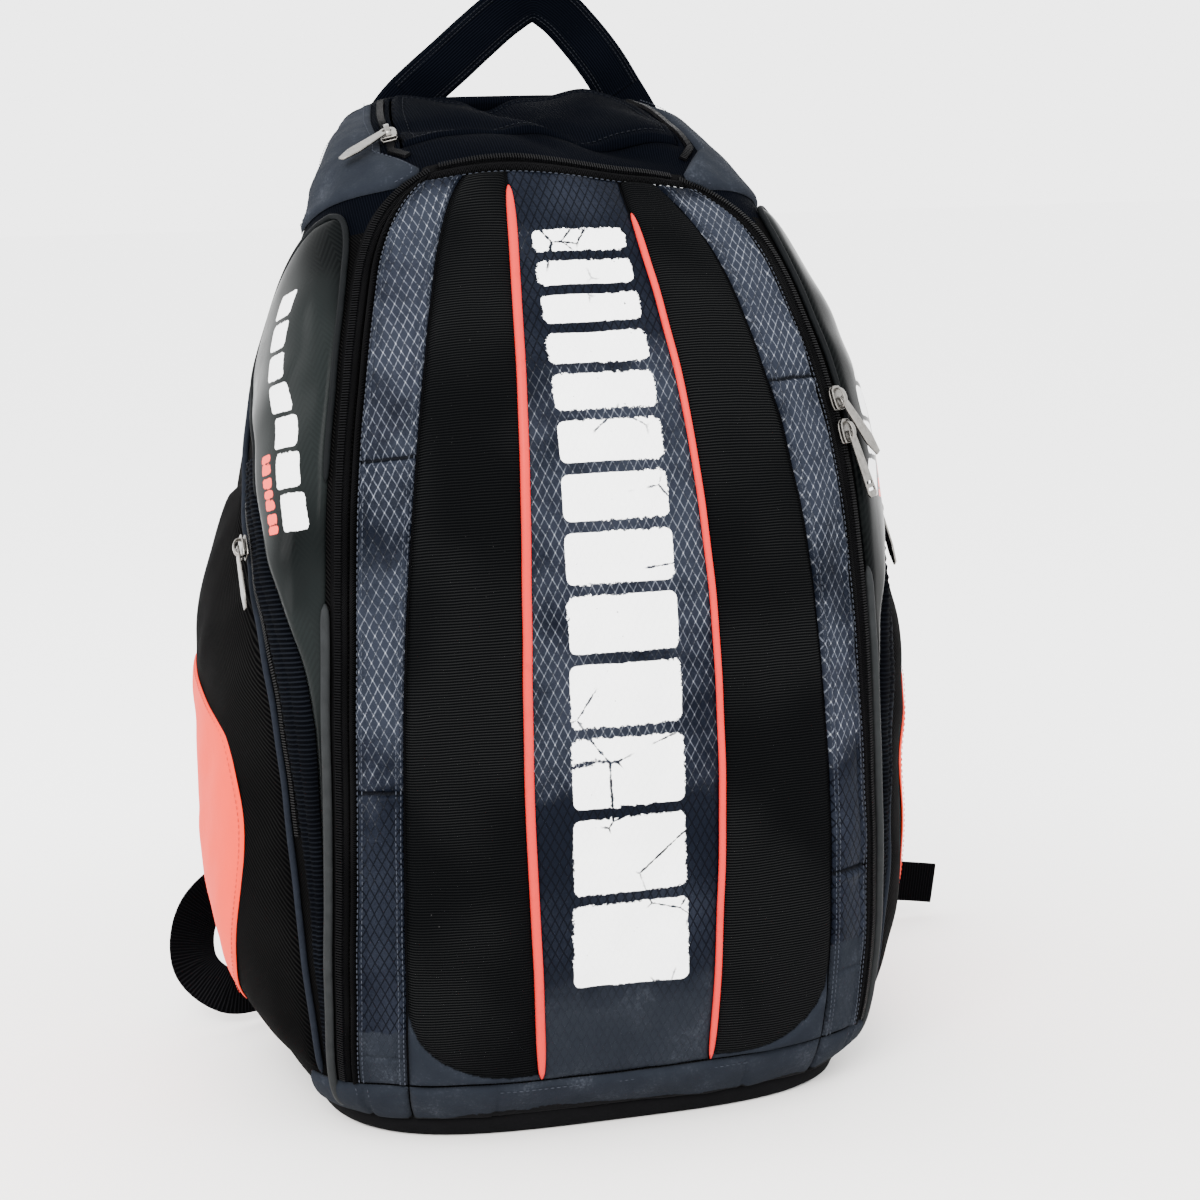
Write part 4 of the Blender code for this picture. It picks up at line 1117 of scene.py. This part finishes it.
def coral_front(v):
    top = smoothstep((4.5 - v) / 1.0)
    return coral_seam(v) + (1 - top) * (back_edge(v) - 0.0045 - coral_seam(v))


def coral_back(v):
    bottom = math.sqrt(min(max((v - 1.5) / 0.9, 0.0), 1.0))
    return coral_seam(v) + 0.002 + bottom * (back_edge(v) - 0.0026 - coral_seam(v) - 0.002)


def make_coral(side, word):
    grid = Grid(coral_front, coral_back, 1.52, 4.5, UP_SIDE, 0.0026, side=side)
    fabric_panel(f"coral_cloth_{word}", grid, 0.0040, 0.004, "root", (f"coral_panel_{word}",), CORAL,
                 low=0.0030, extra=pocket_folds(grid), bump=pocket_bump(grid.v, grid.S),
                 inner=0.0026)
    run = line_on(lambda v: side * (coral_front(v) + 0.0022), 1.6, 4.35, 0.0040, 0.003, UP_SIDE, pocket_bump)
    thread = make_thread(f"coral_thread_{word}", (0.32, 0.028, 0.020), (0.50, 0.045, 0.030))
    stitches(f"coral_stitching_{word}", "root", [run], thread)


def tapered(cum, radius, end=0.010):
    total = cum[-1]
    return radius * (0.25 + 0.75 * rounding(np.minimum(cum, total - cum), end))


def cord_line(name, body, points, normals, wide, high, nodes, finish, slot, end=0.010, pitch=0.003):
    p, n, cum = resample(points, normals, pitch)
    made = sweep(name, p, n, tapered(cum, wide, end), tapered(cum, high, end), 2.0, 12)
    return place_piece(made, body, nodes, finish)


def make_side_cords(side, word):
    p, n = line_on(lambda v: side * pocket_seam(v), 1.08, 6.0, 0.0017, 0.003, UP_SIDE)
    cord_line(f"navy_piping_{word}", "root", p, n, 0.0034, 0.0032, (f"side_piping_{word}",), NAVY_CORD,
              "navy_fabric")
    front = line_on(lambda v: side * (side_in(v) + 0.0008), 0.30, 4.3, 0.0022, 0.003, UP_SIDE)
    cord_line(f"grey_piping_{word}", "root", *front, 0.0046, 0.0040, (), GREY_CORD, "navy_fabric")
    vs = np.concatenate([np.linspace(5.0, LENS_TO, 60), np.linspace(LENS_TO, 5.0, 60)[1:]])
    S = side * np.concatenate([column(lens_front, vs[:60]), column(lens_back, vs[60:])])
    cord_line(f"lens_piping_{word}", "root", *lifted(vs, S, 0.0020), 0.0032, 0.0030, (), BLACK_PIPE,
              "black_fabric", pitch=0.0022)


def make_shoulder(side, word):
    grid = Grid(side_in, shifted(pocket_seam, 0.0034), TAPE_FROM, 9.88, UP_FRONT, 0.0020, side=side)
    where = base_points(grid)
    lumps = 0.0012 * waves(where, 0.03, 61) + 0.0005 * waves(where, 0.010, 62)
    fabric_panel(f"shoulder_cloth_{word}", grid, 0.0030, 0.005, "root", (f"shoulder_patch_{word}",), SUEDE,
                 extra=lumps * rounding(grid.edge, 0.006),
                 marks={"frayed": np.full(grid.S.shape, -0.02)})
    runs = [line_on(lambda v: side * seam(v), 7.45, 9.85, 0.0028)
            for seam in (shifted(side_in, 0.003), shifted(pocket_seam, 0.0006))]
    stitches(f"shoulder_stitching_{word}", "root", runs, GREY_THREAD)


# ---------------------------------------------------------------- the front lid
BOTTOM = float(height_of(LID_FROM, UP_FRONT))


def block(x, y, cx, cy, wide, high, r):
    """Signed distance into a rounded block, positive inside."""
    dx, dy = np.abs(x - cx) - wide / 2 + r, np.abs(y - cy) - high / 2 + r
    return -(np.hypot(np.maximum(dx, 0), np.maximum(dy, 0)) + np.minimum(np.maximum(dx, dy), 0) - r)


def print_distance(x, y):
    """A ladder of plain rounded stripes, thick at the foot and thin at the top, in metres."""
    best = np.full(x.shape, -1.0)
    foot = 0.047
    for i in range(13):
        high = 0.0405 * 0.9 ** i
        wide = 0.056 - 0.0009 * i
        best = np.maximum(best, block(x, y, 0.001, foot + high / 2, wide, high, 0.0035))
        foot += high + 0.0052
    return best


def above_seam(grid, level, tilt=0.0):
    return height_of(grid.v, UP_FRONT) - BOTTOM - level - tilt * grid.S


def crease(grid, level, depth=0.0024, width=0.0013, tilt=0.0):
    return -depth * np.exp(-(above_seam(grid, level, tilt) / width) ** 2)


def make_lid():
    vs = rows_of(LID_FROM, LID_TO, 0.0040, UP_FRONT)
    S = np.array([np.linspace(-LID_OUT(v), LID_OUT(v), 70) for v in vs])
    made = shell_mesh("lid_wall", vs, S, -0.0001, -SHELL, UP_FRONT)
    place_piece(made, "front_lid", ("lid_shell",), LINING)

    edge = shifted(centre_edge, -0.0006)
    grid = Grid(mirrored(edge), edge, LID_FROM, LID_TOP_SEAM, UP_FRONT, 0.0016)
    y = height_of(grid.v, UP_FRONT) - BOTTOM
    where = base_points(grid)
    slack = 0.0009 * waves(where, 0.045, 71) + 0.0004 * waves(where, 0.016, 72)
    fabric_panel("centre_cloth", grid, 0.0022, 0.004, "front_lid", ("centre_panel",), PRINT,
                 extra=slack * rounding(grid.across, 0.012),
                 marks={"print": print_distance(grid.S, y), "suede": 0.042 - y})
    # The left cord is thicker and runs higher.
    for side, word, top, wide, high in ((1, "right", 6.95, 0.0034, 0.0036), (-1, "left", 7.22, 0.0046, 0.0042)):
        make_ribbed(side, word)
        make_band(side, word)
        p, n = line_on(lambda v: side * centre_edge(v), LID_FROM + 0.04, top, 0.0026)
        cord_line(f"coral_cord_{word}", "front_lid", p, n, wide, high, (f"coral_piping_{word}",), CORAL_CORD,
                  "coral_piping", end=0.022)
    make_lid_tape()
    reach = lid_edge(7.385) - 0.004
    stitches("lid_top_stitching_right", "front_lid", [row_on(7.385, 0.030, reach, 0.0020)], PALE_THREAD,
             pitch=0.0034)
    stitches("lid_top_stitching_left", "front_lid", [row_on(7.385, -reach, 0.030, 0.0020)], GREY_THREAD,
             pitch=0.0030)


def make_ribbed(side, word):
    grid = Grid(shifted(centre_edge, 0.0006), shifted(rib_edge, -0.0006), LID_FROM, LID_TOP_SEAM, UP_FRONT,
                0.0018, side=side)
    y = height_of(grid.v, UP_FRONT) - BOTTOM
    # The worn corner lies outside an arc of a quarter ellipse.
    wide, high = 0.050, 0.044
    dx = np.maximum(np.abs(grid.S) - (column(rib_edge, grid.vs) - wide), 0) / wide
    dy = np.maximum(high + 0.003 - y, 0) / high
    inside = (1 - np.hypot(dx, dy)) * high * 0.9
    seam = (-0.0013 * np.exp(-((inside - 0.0004) / 0.0011) ** 2)
            + 0.0004 * np.exp(-((inside + 0.003) / 0.002) ** 2))
    puff = 0.0016 * rounding(grid.across, 0.020) + 0.0006 * waves(base_points(grid), 0.06, 81)
    fabric_panel(f"ribbed_cloth_{word}", grid, 0.0024, 0.005, "front_lid", (f"ribbed_panel_{word}",), RIB,
                 extra=seam + puff * rounding(grid.edge, 0.006), marks={"suede": -inside})


def make_band(side, word):
    grid = Grid(shifted(rib_edge, 0.0005), shifted(lid_edge, -0.0006), LID_FROM, LID_TOP_SEAM, UP_FRONT,
                0.0011, side=side)
    where = base_points(grid)
    rims = (0.0010 * np.exp(-((grid.across - 0.0020) / 0.0012) ** 2)
            - 0.0007 * np.exp(-((grid.across - 0.0044) / 0.0008) ** 2))
    body = 0.0006 * waves(where, 0.022, 91) + 0.0004 * waves(where, 0.010, 92)
    # Two cross seams, each as height and tilt; then the low seam and the height of the worn foot.
    if side < 0:
        levels, low_seam, foot = ((0.305, 0.02), (0.143, -0.05)), (0.016, 0.0), 0.030
    else:
        levels, low_seam, foot = ((0.322, 0.10), (0.082, 0.06)), (0.030, 0.05), 0.052
    gaps = [above_seam(grid, *level) for level in levels]
    nearest = np.where(np.abs(gaps[0]) < np.abs(gaps[1]), gaps[0], gaps[1])
    seams = (sum(crease(grid, a, tilt=b) for a, b in levels)
             + 0.0011 * np.exp(-((nearest + 0.0034) / 0.0024) ** 2)
             + crease(grid, low_seam[0], 0.0012, 0.0009, low_seam[1]))
    marks = {"suede": foot - above_seam(grid, 0.0), "fold": nearest}
    fabric_panel(f"band_cloth_{word}", grid, 0.0024, 0.004, "front_lid", (f"grey_band_{word}",), BAND,
                 extra=(rims + body) * rounding(grid.ends, 0.004) + seams, marks=marks)
    runs = [line_on(lambda v: side * seam(v), LID_FROM + 0.03, 7.36, 0.0031) for step in (0.0012, 0.0034)
            for seam in (shifted(rib_edge, step), shifted(lid_edge, -step - 0.0002))]
    stitches(f"band_stitching_{word}", "front_lid", runs, GREY_THREAD, pitch=0.0027, thick=0.0006)


def make_lid_tape():
    parts = [tape_part(shifted(lid_edge, 0.0002), LID_OUT, LID_FROM, LID_TO, 0.0010, 0.0024, 0.0015, side)
             for side, _ in SIDES]
    parts.append(tape_part(mirrored(lid_edge), lid_edge, TAPE_FROM, LID_TO, 0.0012, 0.0026, 0.0022))
    place_piece(join("lid_edge_tape", parts), "front_lid", ("lid_zip_tape",), TAPE_CLOTH)


# ---------------------------------------------------------------- flap, handle, back and straps
def make_flap():
    grid = Grid(mirrored(LID_OUT), LID_OUT, FLAP_FROM, FLAP_TO, UP_FRONT, 0.0022)
    rim = (0.0011 * np.exp(-((grid.edge - 0.0028) / 0.0018) ** 2)
           - 0.0006 * np.exp(-((grid.edge - 0.0062) / 0.001) ** 2))
    outer = -0.0004 + 0.0014 * rounding(grid.edge, 0.004) + rim
    made = shell_mesh("knit_flap", grid.vs, grid.S, outer, -SHELL, UP_FRONT)
    place_piece(made, "top_flap", ("top_flap",), KNIT)
    seam = shifted(LID_OUT, -0.0060)
    runs = both_sides(seam, FLAP_FROM + 0.1, FLAP_TO - 0.1, 0.0010)
    runs += [row_on(v, -seam(v), seam(v), 0.0010) for v in (FLAP_FROM + 0.12, FLAP_TO - 0.14)]
    stitches("flap_stitching", "top_flap", runs, BLACK_THREAD)


def quilting(grid):
    """Depth into the back pad's cushions, from the channels between them and beside the spine."""
    x = np.abs(np.abs(grid.S) - column(half_round, grid.vs))
    channels = np.array((0.17, 0.36, 0.58, 0.80)) * grid.h
    across = np.min([np.abs(grid.w - one - 0.10 * np.maximum(x - 0.02, 0)) for one in channels], axis=0)
    return np.minimum(np.minimum(across - 0.0012, x - 0.010), grid.edge)


def make_back():
    parts = []
    for side, _word in SIDES:
        grid = Grid(back_edge, shifted(half_round, -0.0004), BACK_FROM, BACK_TO, UP_BACK, 0.0026, side=side)
        grid.edge = np.minimum(np.abs(grid.S) - column(back_edge, grid.vs), grid.ends)
        gap = quilting(grid)
        full = 0.0030 + 0.0062 * rounding(gap, 0.014) + 0.0006 * waves(base_points(grid), 0.05, 101)
        outer = np.where(gap > 0, full, 0.0030) * (0.35 + 0.65 * rounding(grid.edge, 0.010))
        parts.append(shell_mesh("pad_part", grid.vs, grid.S, np.maximum(outer, GAP + 0.0004), GAP, UP_BACK,
                                calm=0.3))
    made = place_piece(join("back_padding", parts), "root", ("back_panel",), MESH)
    runs = both_sides(shifted(back_edge, 0.004), BACK_FROM + 0.05, BACK_TO - 0.05, 0.0050, 0.004, UP_BACK)
    stitches("back_stitching", "root", runs, BLACK_THREAD)


def make_divider():
    """The padded wall between the compartments, thinning towards its edges, with level quilting lines."""
    lo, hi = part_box("divider")
    vs = 0.15 + 0.1175 * np.arange(57)
    half, low, high = [column(lambda v: along(SECTIONS[:, field], v), vs) for field in (4, 3, 1)]
    half = half - SHELL - 0.0135
    up = low + BACK_SHARE * (high - low) + 0.004
    t = np.linspace(-1, 1, 61)
    X = half * t
    Z = up + 0 * X
    edge = np.minimum((1 - np.abs(t)) * half, np.minimum(Z - up[0], up[-1] - Z))
    quilt = np.abs((Z * 14) % 1 - 0.5) / 14
    thick = 0.0012 + 0.0013 * rounding(edge, 0.006) - 0.0007 * np.exp(-(quilt / 0.0016) ** 2)
    verts = np.concatenate([np.stack([X, (lo.y + hi.y) / 2 + y, Z], -1).reshape(-1, 3)
                            for y in (-thick, thick)])
    faces = sheet_faces(np.ones((len(vs) - 1, len(t) - 1), bool), len(t)).tolist()
    made = new_piece("divider_pad", verts, faces, verts[:, [0, 2]])
    place_piece(made, "root", ("divider",), LINING)


# The handle's middle line from end to end, as x and height over its hinge.
HANDLE_LINE = ((-0.0590, -0.0110), (-0.0500, 0.0000), (-0.0370, 0.0118), (-0.0240, 0.0225), (-0.0090, 0.0350),
               (0.0060, 0.0465), (0.0210, 0.0540), (0.0340, 0.0475), (0.0460, 0.0350), (0.0580, 0.0195),
               (0.0705, 0.0000), (0.0770, -0.0110))
HANDLE_Y, HANDLE_Z = 0.101, 0.4910


def handle_part(name, low, high, seed):
    """A stretch of the handle's strap, its wide side to the front, and the stitching along its edges."""
    t = np.linspace(low, high, 90)
    places = np.array([along(np.array(HANDLE_LINE), x) for x in t])
    line = np.stack([places[:, 0], np.full(len(t), HANDLE_Y), HANDLE_Z + places[:, 1]], 1)
    p, n, _cum = resample(line, np.tile((0.0, -1.0, 0.0), (len(line), 1)), 0.0020)
    top = np.exp(-((p[:, 0] - 0.021) / 0.022) ** 2)
    width, thick = 0.0262 - 0.0010 * top, 0.0052 + 0.0006 * top
    curl = 0.0016 * np.sin(p[:, 0] / 0.017 + 0.6)
    p[:, 1] += curl * smoothstep((p[:, 2] - HANDLE_Z - 0.004) / 0.015)
    made = sweep(name, p, n, width, thick, 3.0, 30, uneven=lambda r: 0.0007 * waves(r, 0.020, seed))
    _ahead, side, out = frames(p, n)
    runs = []
    for sign in (-1, 1):
        for step in (0.0026, 0.0044):
            edge = p + side * (sign * (width / 2 - step))[:, None]
            runs.append((edge + out * (thick / 2)[:, None], out))
            runs.append((edge - out * (thick / 2)[:, None], -out))
    return made, runs


def make_handle():
    made, runs = handle_part("handle_strap", 1.25, 9.75, 111)
    place_piece(made, "grab_handle", ("grab_handle",), KNIT)
    stitches("handle_stitching", "grab_handle", runs, BLACK_THREAD, pitch=0.0022)
    for low, high, word, x in ((0.0, 1.35, "left", -0.050), (9.65, 11.0, "right", 0.0705)):
        made, _runs = handle_part(f"handle_root_{word}", low, high, 111)
        place_piece(made, None, (), KNIT)
        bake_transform(made)


STRAP_X = 0.060
STRAP_LINE = ((0.126, 0.4360), (0.148, 0.4180), (0.163, 0.3700), (0.168, 0.3100), (0.162, 0.2500),
              (0.150, 0.2000), (0.143, 0.1750))
WEB_LINE = ((0.060, 0.1400, 0.1425), (0.064, 0.1440, 0.1210), (0.092, 0.1520, 0.0950), (0.138, 0.1510, 0.0770),
            (0.172, 0.1380, 0.0580), (0.180, 0.1140, 0.0350), (0.164, 0.1020, 0.0200), (0.140, 0.1080, 0.0180))
TAIL_LINES = {
    "right": ((0.060, 0.1490, 0.1580), (0.072, 0.1640, 0.1250), (0.110, 0.1750, 0.0720), (0.180, 0.1750, 0.0340),
              (0.274, 0.1650, 0.0190)),
    "left": ((0.060, 0.1490, 0.1580), (0.060, 0.1600, 0.1360), (0.060, 0.1680, 0.1080), (0.060, 0.1700, 0.0760))}
ANCHOR_LINE = ((0.1335, 0.1050, 0.0190), (0.1250, 0.1010, 0.0175), (0.1150, 0.1075, 0.0165))


def smooth_path(points, steps=12):
    points = np.asarray(points, float)
    return np.array([along(points, t) for t in np.linspace(0, len(points) - 1, (len(points) - 1) * steps + 1)])


def flat_normals(line, out):
    """Normals of a strap whose width lies along out crossed with its run."""
    ahead = np.gradient(line, axis=0)
    wide = np.cross(np.tile(out, (len(line), 1)), ahead)
    normals = np.cross(ahead, wide)
    return normals / np.linalg.norm(normals, axis=1, keepdims=True)


def make_strap(side, word):
    body = f"shoulder_strap_{word}"
    line = smooth_path([(side * STRAP_X, y, z) for y, z in STRAP_LINE])
    ahead = np.gradient(line, axis=0)
    p, n, cum = resample(line, np.cross(ahead, np.tile((1.0, 0, 0), (len(line), 1))), 0.0030)
    share = cum / cum[-1]
    width = 0.0575 - 0.014 * smoothstep((share - 0.70) / 0.30)
    thick = 0.0035 + 0.0072 * rounding(np.minimum(cum, (cum[-1] - cum)), 0.022)
    thick = thick - 0.0022 * np.exp(-(((share * 5) % 1 - 0.5) / 0.035) ** 2)
    made = sweep(f"strap_pad_{word}", p, n, width - 0.004, thick, 2.7, 40,
                 uneven=lambda r: 0.0006 * waves(r, 0.030, 121))
    place_piece(made, body, (f"shoulder_strap_{word}",), MESH)
    _, across, out = frames(p, n)
    rims = [p + across * (sign * (width / 2 - 0.0028))[:, None] for sign in (-1, 1)]
    edges = [sweep("binding_part", rim, n, 0.0060, 0.0050, 2.6, 14) for rim in rims]
    place_piece(join(f"strap_binding_{word}", edges), body, (), WEB)
    runs = [(p + across * (sign * (width / 2 - 0.0062))[:, None] + out * (flip * (thick / 2 * 0.86))[:, None],
             out * flip) for sign in (-1, 1) for flip in (1, -1)]
    stitches(f"strap_stitching_{word}", body, runs, GREY_THREAD, pitch=0.0032)
    start, stop = int(len(p) * 0.60), len(p) - 1
    web = p[start:stop] + out[start:stop] * (thick[start:stop] / 2 * 0.98 + 0.0002)[:, None]
    web = np.concatenate([web, [p[-1] + out[-1] * 0.001 + (0, 0, -0.006)]])
    q, m, _ = resample(web, n[start:], 0.003)
    place_piece(sweep(f"strap_runner_{word}", q, m, WEB_WIDE, 0.0018, 5.0, 16), body, (), WEB)


def make_buckle(word):
    lo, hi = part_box(f"strap_buckle_{word}")
    centre, size = (lo + hi) / 2, hi - lo
    slots = [rounded_loop(0.0275, 0.0052, 0.0018, 0, level * size.z) for level in (0.24, -0.24)]
    frame_loop = rounded_loop(size.x, size.z, 0.0045)
    turn = Matrix.Translation(centre) @ Matrix.Rotation(math.pi / 2, 4, "X")
    bars = [outline_plate("buckle_part", [frame_loop, *slots], size.y - 0.0004, 0.0009, turn)]
    for level, out in ((0.02, 0.0012), (-0.44, 0.0009)):
        x = np.linspace(-size.x * 0.36, size.x * 0.36, 12)
        bar = np.array([(centre.x + a, centre.y + size.y / 2 * 0.55, centre.z + level * size.z) for a in x])
        bars.append(sweep("buckle_part", bar, np.tile((0, 1.0, 0), (12, 1)), 0.0034, 0.0030 + out, 3.0, 12))
    made = place_piece(join(f"ladder_buckle_{word}", bars), f"strap_buckle_{word}", (f"strap_buckle_{word}",),
                       PLASTIC)
    made.data.polygons.foreach_set("use_smooth", [True] * len(made.data.polygons))


def make_webbing(side, word):
    line = smooth_path([(side * x, y, z) for x, y, z in WEB_LINE])
    p, n, _ = resample(line, flat_normals(line, (0, 1.0, 0)), 0.0025)
    made = sweep(f"adjuster_webbing_{word}", p, n, WEB_WIDE, 0.0017, 5.0, 18)
    place_piece(made, None, (f"webbing_{word}",), WEB)
    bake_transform(made)
    line = smooth_path([(side * x, y, z) for x, y, z in TAIL_LINES[word]])
    p, n, cum = resample(line, flat_normals(line, (0, 1.0, 0)), 0.0025)
    fold = 0.0017 + 0.0016 * smoothstep((cum - cum[-1] + 0.026) / 0.003)
    made = sweep(f"webbing_end_{word}", p, n, WEB_WIDE, fold, 5.0, 18)
    place_piece(made, f"strap_buckle_{word}", (f"webbing_tail_{word}",), WEB)
    line = smooth_path([(side * x, y, z) for x, y, z in ANCHOR_LINE])
    wide = np.tile((0, 0.2, 1.0), (len(line), 1))
    ahead = np.gradient(line, axis=0)
    p, n, _ = resample(line, np.cross(ahead, wide), 0.0015)
    made = sweep(f"anchor_tab_{word}", p, n, WEB_WIDE, 0.0024, 4.0, 18)
    place_piece(made, "root", (f"strap_anchor_{word}",), CORAL)


# ---------------------------------------------------------------- zip sliders and pulls
def axes_of(node):
    """Centre and axes of a box-like CAD node, longest extent first."""
    co = np.array([v.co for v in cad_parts[node].data.vertices])
    unique = np.unique(np.round(co, 6), axis=0)
    centre = unique.mean(0)
    return centre, np.linalg.svd(unique - centre)[2]


def facing(axis, toward):
    return axis * (1 if axis @ toward > 0 else -1)


def placed(centre, across, ahead, out):
    """The matrix that lays x, y and z along three directions at a centre."""
    turn = Matrix((Vector(across), Vector(ahead), Vector(out))).transposed().to_4x4()
    return Matrix.Translation(Vector(centre)) @ turn


def slider_outline(scale=1.0):
    half = [(0.0030, -0.0051), (0.0037, -0.0030), (0.0038, 0.0010), (0.0034, 0.0034), (0.0020, 0.0050)]
    loop = half + [(-x, y) for x, y in reversed(half)]
    return [(x * scale * 1.15, y * scale * 1.18) for x, y in loop]


def make_zip(name, style):
    centre, rows = axes_of(f"{name}_slider")
    pull_centre, pull_rows = axes_of(f"{name}_pull")
    out = facing(rows[2], pull_centre - centre)
    length = facing(pull_rows[0], centre - pull_centre)
    ahead = facing(rows[0], length)
    across = np.cross(ahead, out)
    at_slider = placed(centre, across, ahead, out)
    post = rounded_loop(0.0030, 0.0036, 0.0010, 0, 0.0026)
    parts = [outline_plate("slider_part", loops, thick, bevel, at_slider @ Matrix.Translation((0, 0, rise)))
             for loops, thick, bevel, rise in (([slider_outline()], 0.0011, 0.0004, 0.0009),
                                               ([slider_outline(0.96)], 0.0010, 0.0004, -0.0010),
                                               ([post], 0.0018, 0.0002, 0))]
    t = np.linspace(0, np.pi, 22)
    bail = np.stack([0 * t, 0.0047 * np.cos(t) - 0.0004, 0.0012 + 0.0036 * np.sin(t) ** 0.8], 1)
    world = np.array([at_slider @ Vector(q) for q in bail])
    parts.append(sweep("slider_part", world, np.tile(across, (len(t), 1)), 0.0010, 0.0026, 3.0, 12))
    for x in (-0.0033, 0.0033):
        rail = np.array([at_slider @ Vector((x, y, 0.0002)) for y in np.linspace(-0.0040, 0.0010, 8)])
        parts.append(sweep("slider_part", rail, np.tile(out, (8, 1)), 0.0009, 0.0012, 3.0, 10))
    made = place_piece(join(f"{name}_slider_body", parts), f"{name}_slider", (f"{name}_slider",), NICKEL)
    made.data.polygons.foreach_set("use_smooth", [False] * len(made.data.polygons))

    pull_out = facing(pull_rows[2], out)
    at_pull = placed(pull_centre, np.cross(length, pull_out), length, pull_out)
    half = 0.0170
    slots = []
    if style == "slotted":
        edge = [(0.0019, half), (0.0026, half - 0.0040), (0.0035, -0.0135), (0.0036, -0.0152), (0.0024, -half)]
        slots = [rounded_loop(wide, 0.0015, 0.0006, 0, y) for wide, y in ((0.0048, -0.0098), (0.0052, -0.0132))]
    else:
        edge = [(0.0019, half), (0.0025, half - 0.005), (0.0037, -0.0075), (0.0036, -0.0090), (0.0016, -half)]
    loop = edge + [(-x, y) for x, y in reversed(edge)]
    eye = rounded_loop(0.0021, 0.0034, 0.0009, 0, half - 0.0025)
    made = outline_plate(f"{name}_pull_tab", [loop, eye, *slots], 0.0012, 0.00035, at_pull)
    place_piece(made, f"{name}_pull", (f"{name}_pull",), NICKEL)


def make_zips():
    for name, style in (("front_upper", "plain"), ("front_lower", "slotted"), ("main", "plain"),
                        ("pocket_left", "plain"), ("pocket_right", "plain")):
        make_zip(name, style)


# ---------------------------------------------------------------- assembly
make_wall()
make_base()
make_yoke()
make_foot()
make_fixed_tape()
make_coils()
make_sides()
make_lid()
make_flap()
make_back()
make_divider()
make_handle()
for side_sign, side_word in SIDES:
    make_strap(side_sign, side_word)
    make_buckle(side_word)
    make_webbing(side_sign, side_word)
make_zips()


# ---------------------------------------------------------------- camera, floor and lights
def make_camera():
    azimuth, elevation, roll = [math.radians(degrees) for degrees in (-15.2, 10.2, -1.36)]
    back = Vector((math.sin(azimuth) * math.cos(elevation), -math.cos(azimuth) * math.cos(elevation),
                   math.sin(elevation)))
    right = Vector((math.cos(azimuth), math.sin(azimuth), 0))
    up = back.cross(right)
    turned_right = math.cos(roll) * right + math.sin(roll) * up
    turned_up = math.cos(roll) * up - math.sin(roll) * right
    data = bpy.data.cameras.new("camera")
    data.lens, data.sensor_width = 76.6, 36.0
    camera = linked("camera", data)
    camera.matrix_world = placed(Vector((0.023, 0, 0.240)) + back * 1.3, turned_right, turned_up, back)
    bpy.context.scene.camera = camera


def make_floor():
    mesh = bmesh.new()
    bmesh.ops.create_grid(mesh, x_segments=40, y_segments=40, size=14.0)
    data = bpy.data.meshes.new("floor")
    mesh.to_mesh(data)
    mesh.free()
    data.materials.append(make_stage_floor())
    floor = linked("floor", data)
    floor.location.z = -0.0002


def soft_light(name, place, target, size, power, tone=(1, 1, 1)):
    data = bpy.data.lights.new(name, "AREA")
    data.shape, data.size, data.size_y = "RECTANGLE", *size
    data.energy, data.color = power, tone
    light = linked(name, data)
    light.location = place
    light.rotation_mode = "QUATERNION"
    light.rotation_quaternion = (Vector(target) - Vector(place)).to_track_quat("-Z", "Y")


def make_world():
    world = bpy.data.worlds.new("pale_studio")
    world.use_nodes = True
    shade = world.node_tree.nodes["Background"]
    shade.inputs[0].default_value = (0.95, 0.95, 0.95, 1)
    shade.inputs[1].default_value = 4.2
    bpy.context.scene.world = world


make_camera()
make_floor()
make_world()
soft_light("key", (-1.1, -1.9, 1.7), (0, 0, 0.25), (1.4, 1.1), 125, (1.0, 0.99, 0.97))
soft_light("fill", (1.7, -1.4, 0.9), (0, 0, 0.25), (1.0, 1.3), 12, (0.97, 0.98, 1.0))
soft_light("side", (-2.0, 0.5, 0.9), (0, 0, 0.25), (0.7, 1.4), 26)
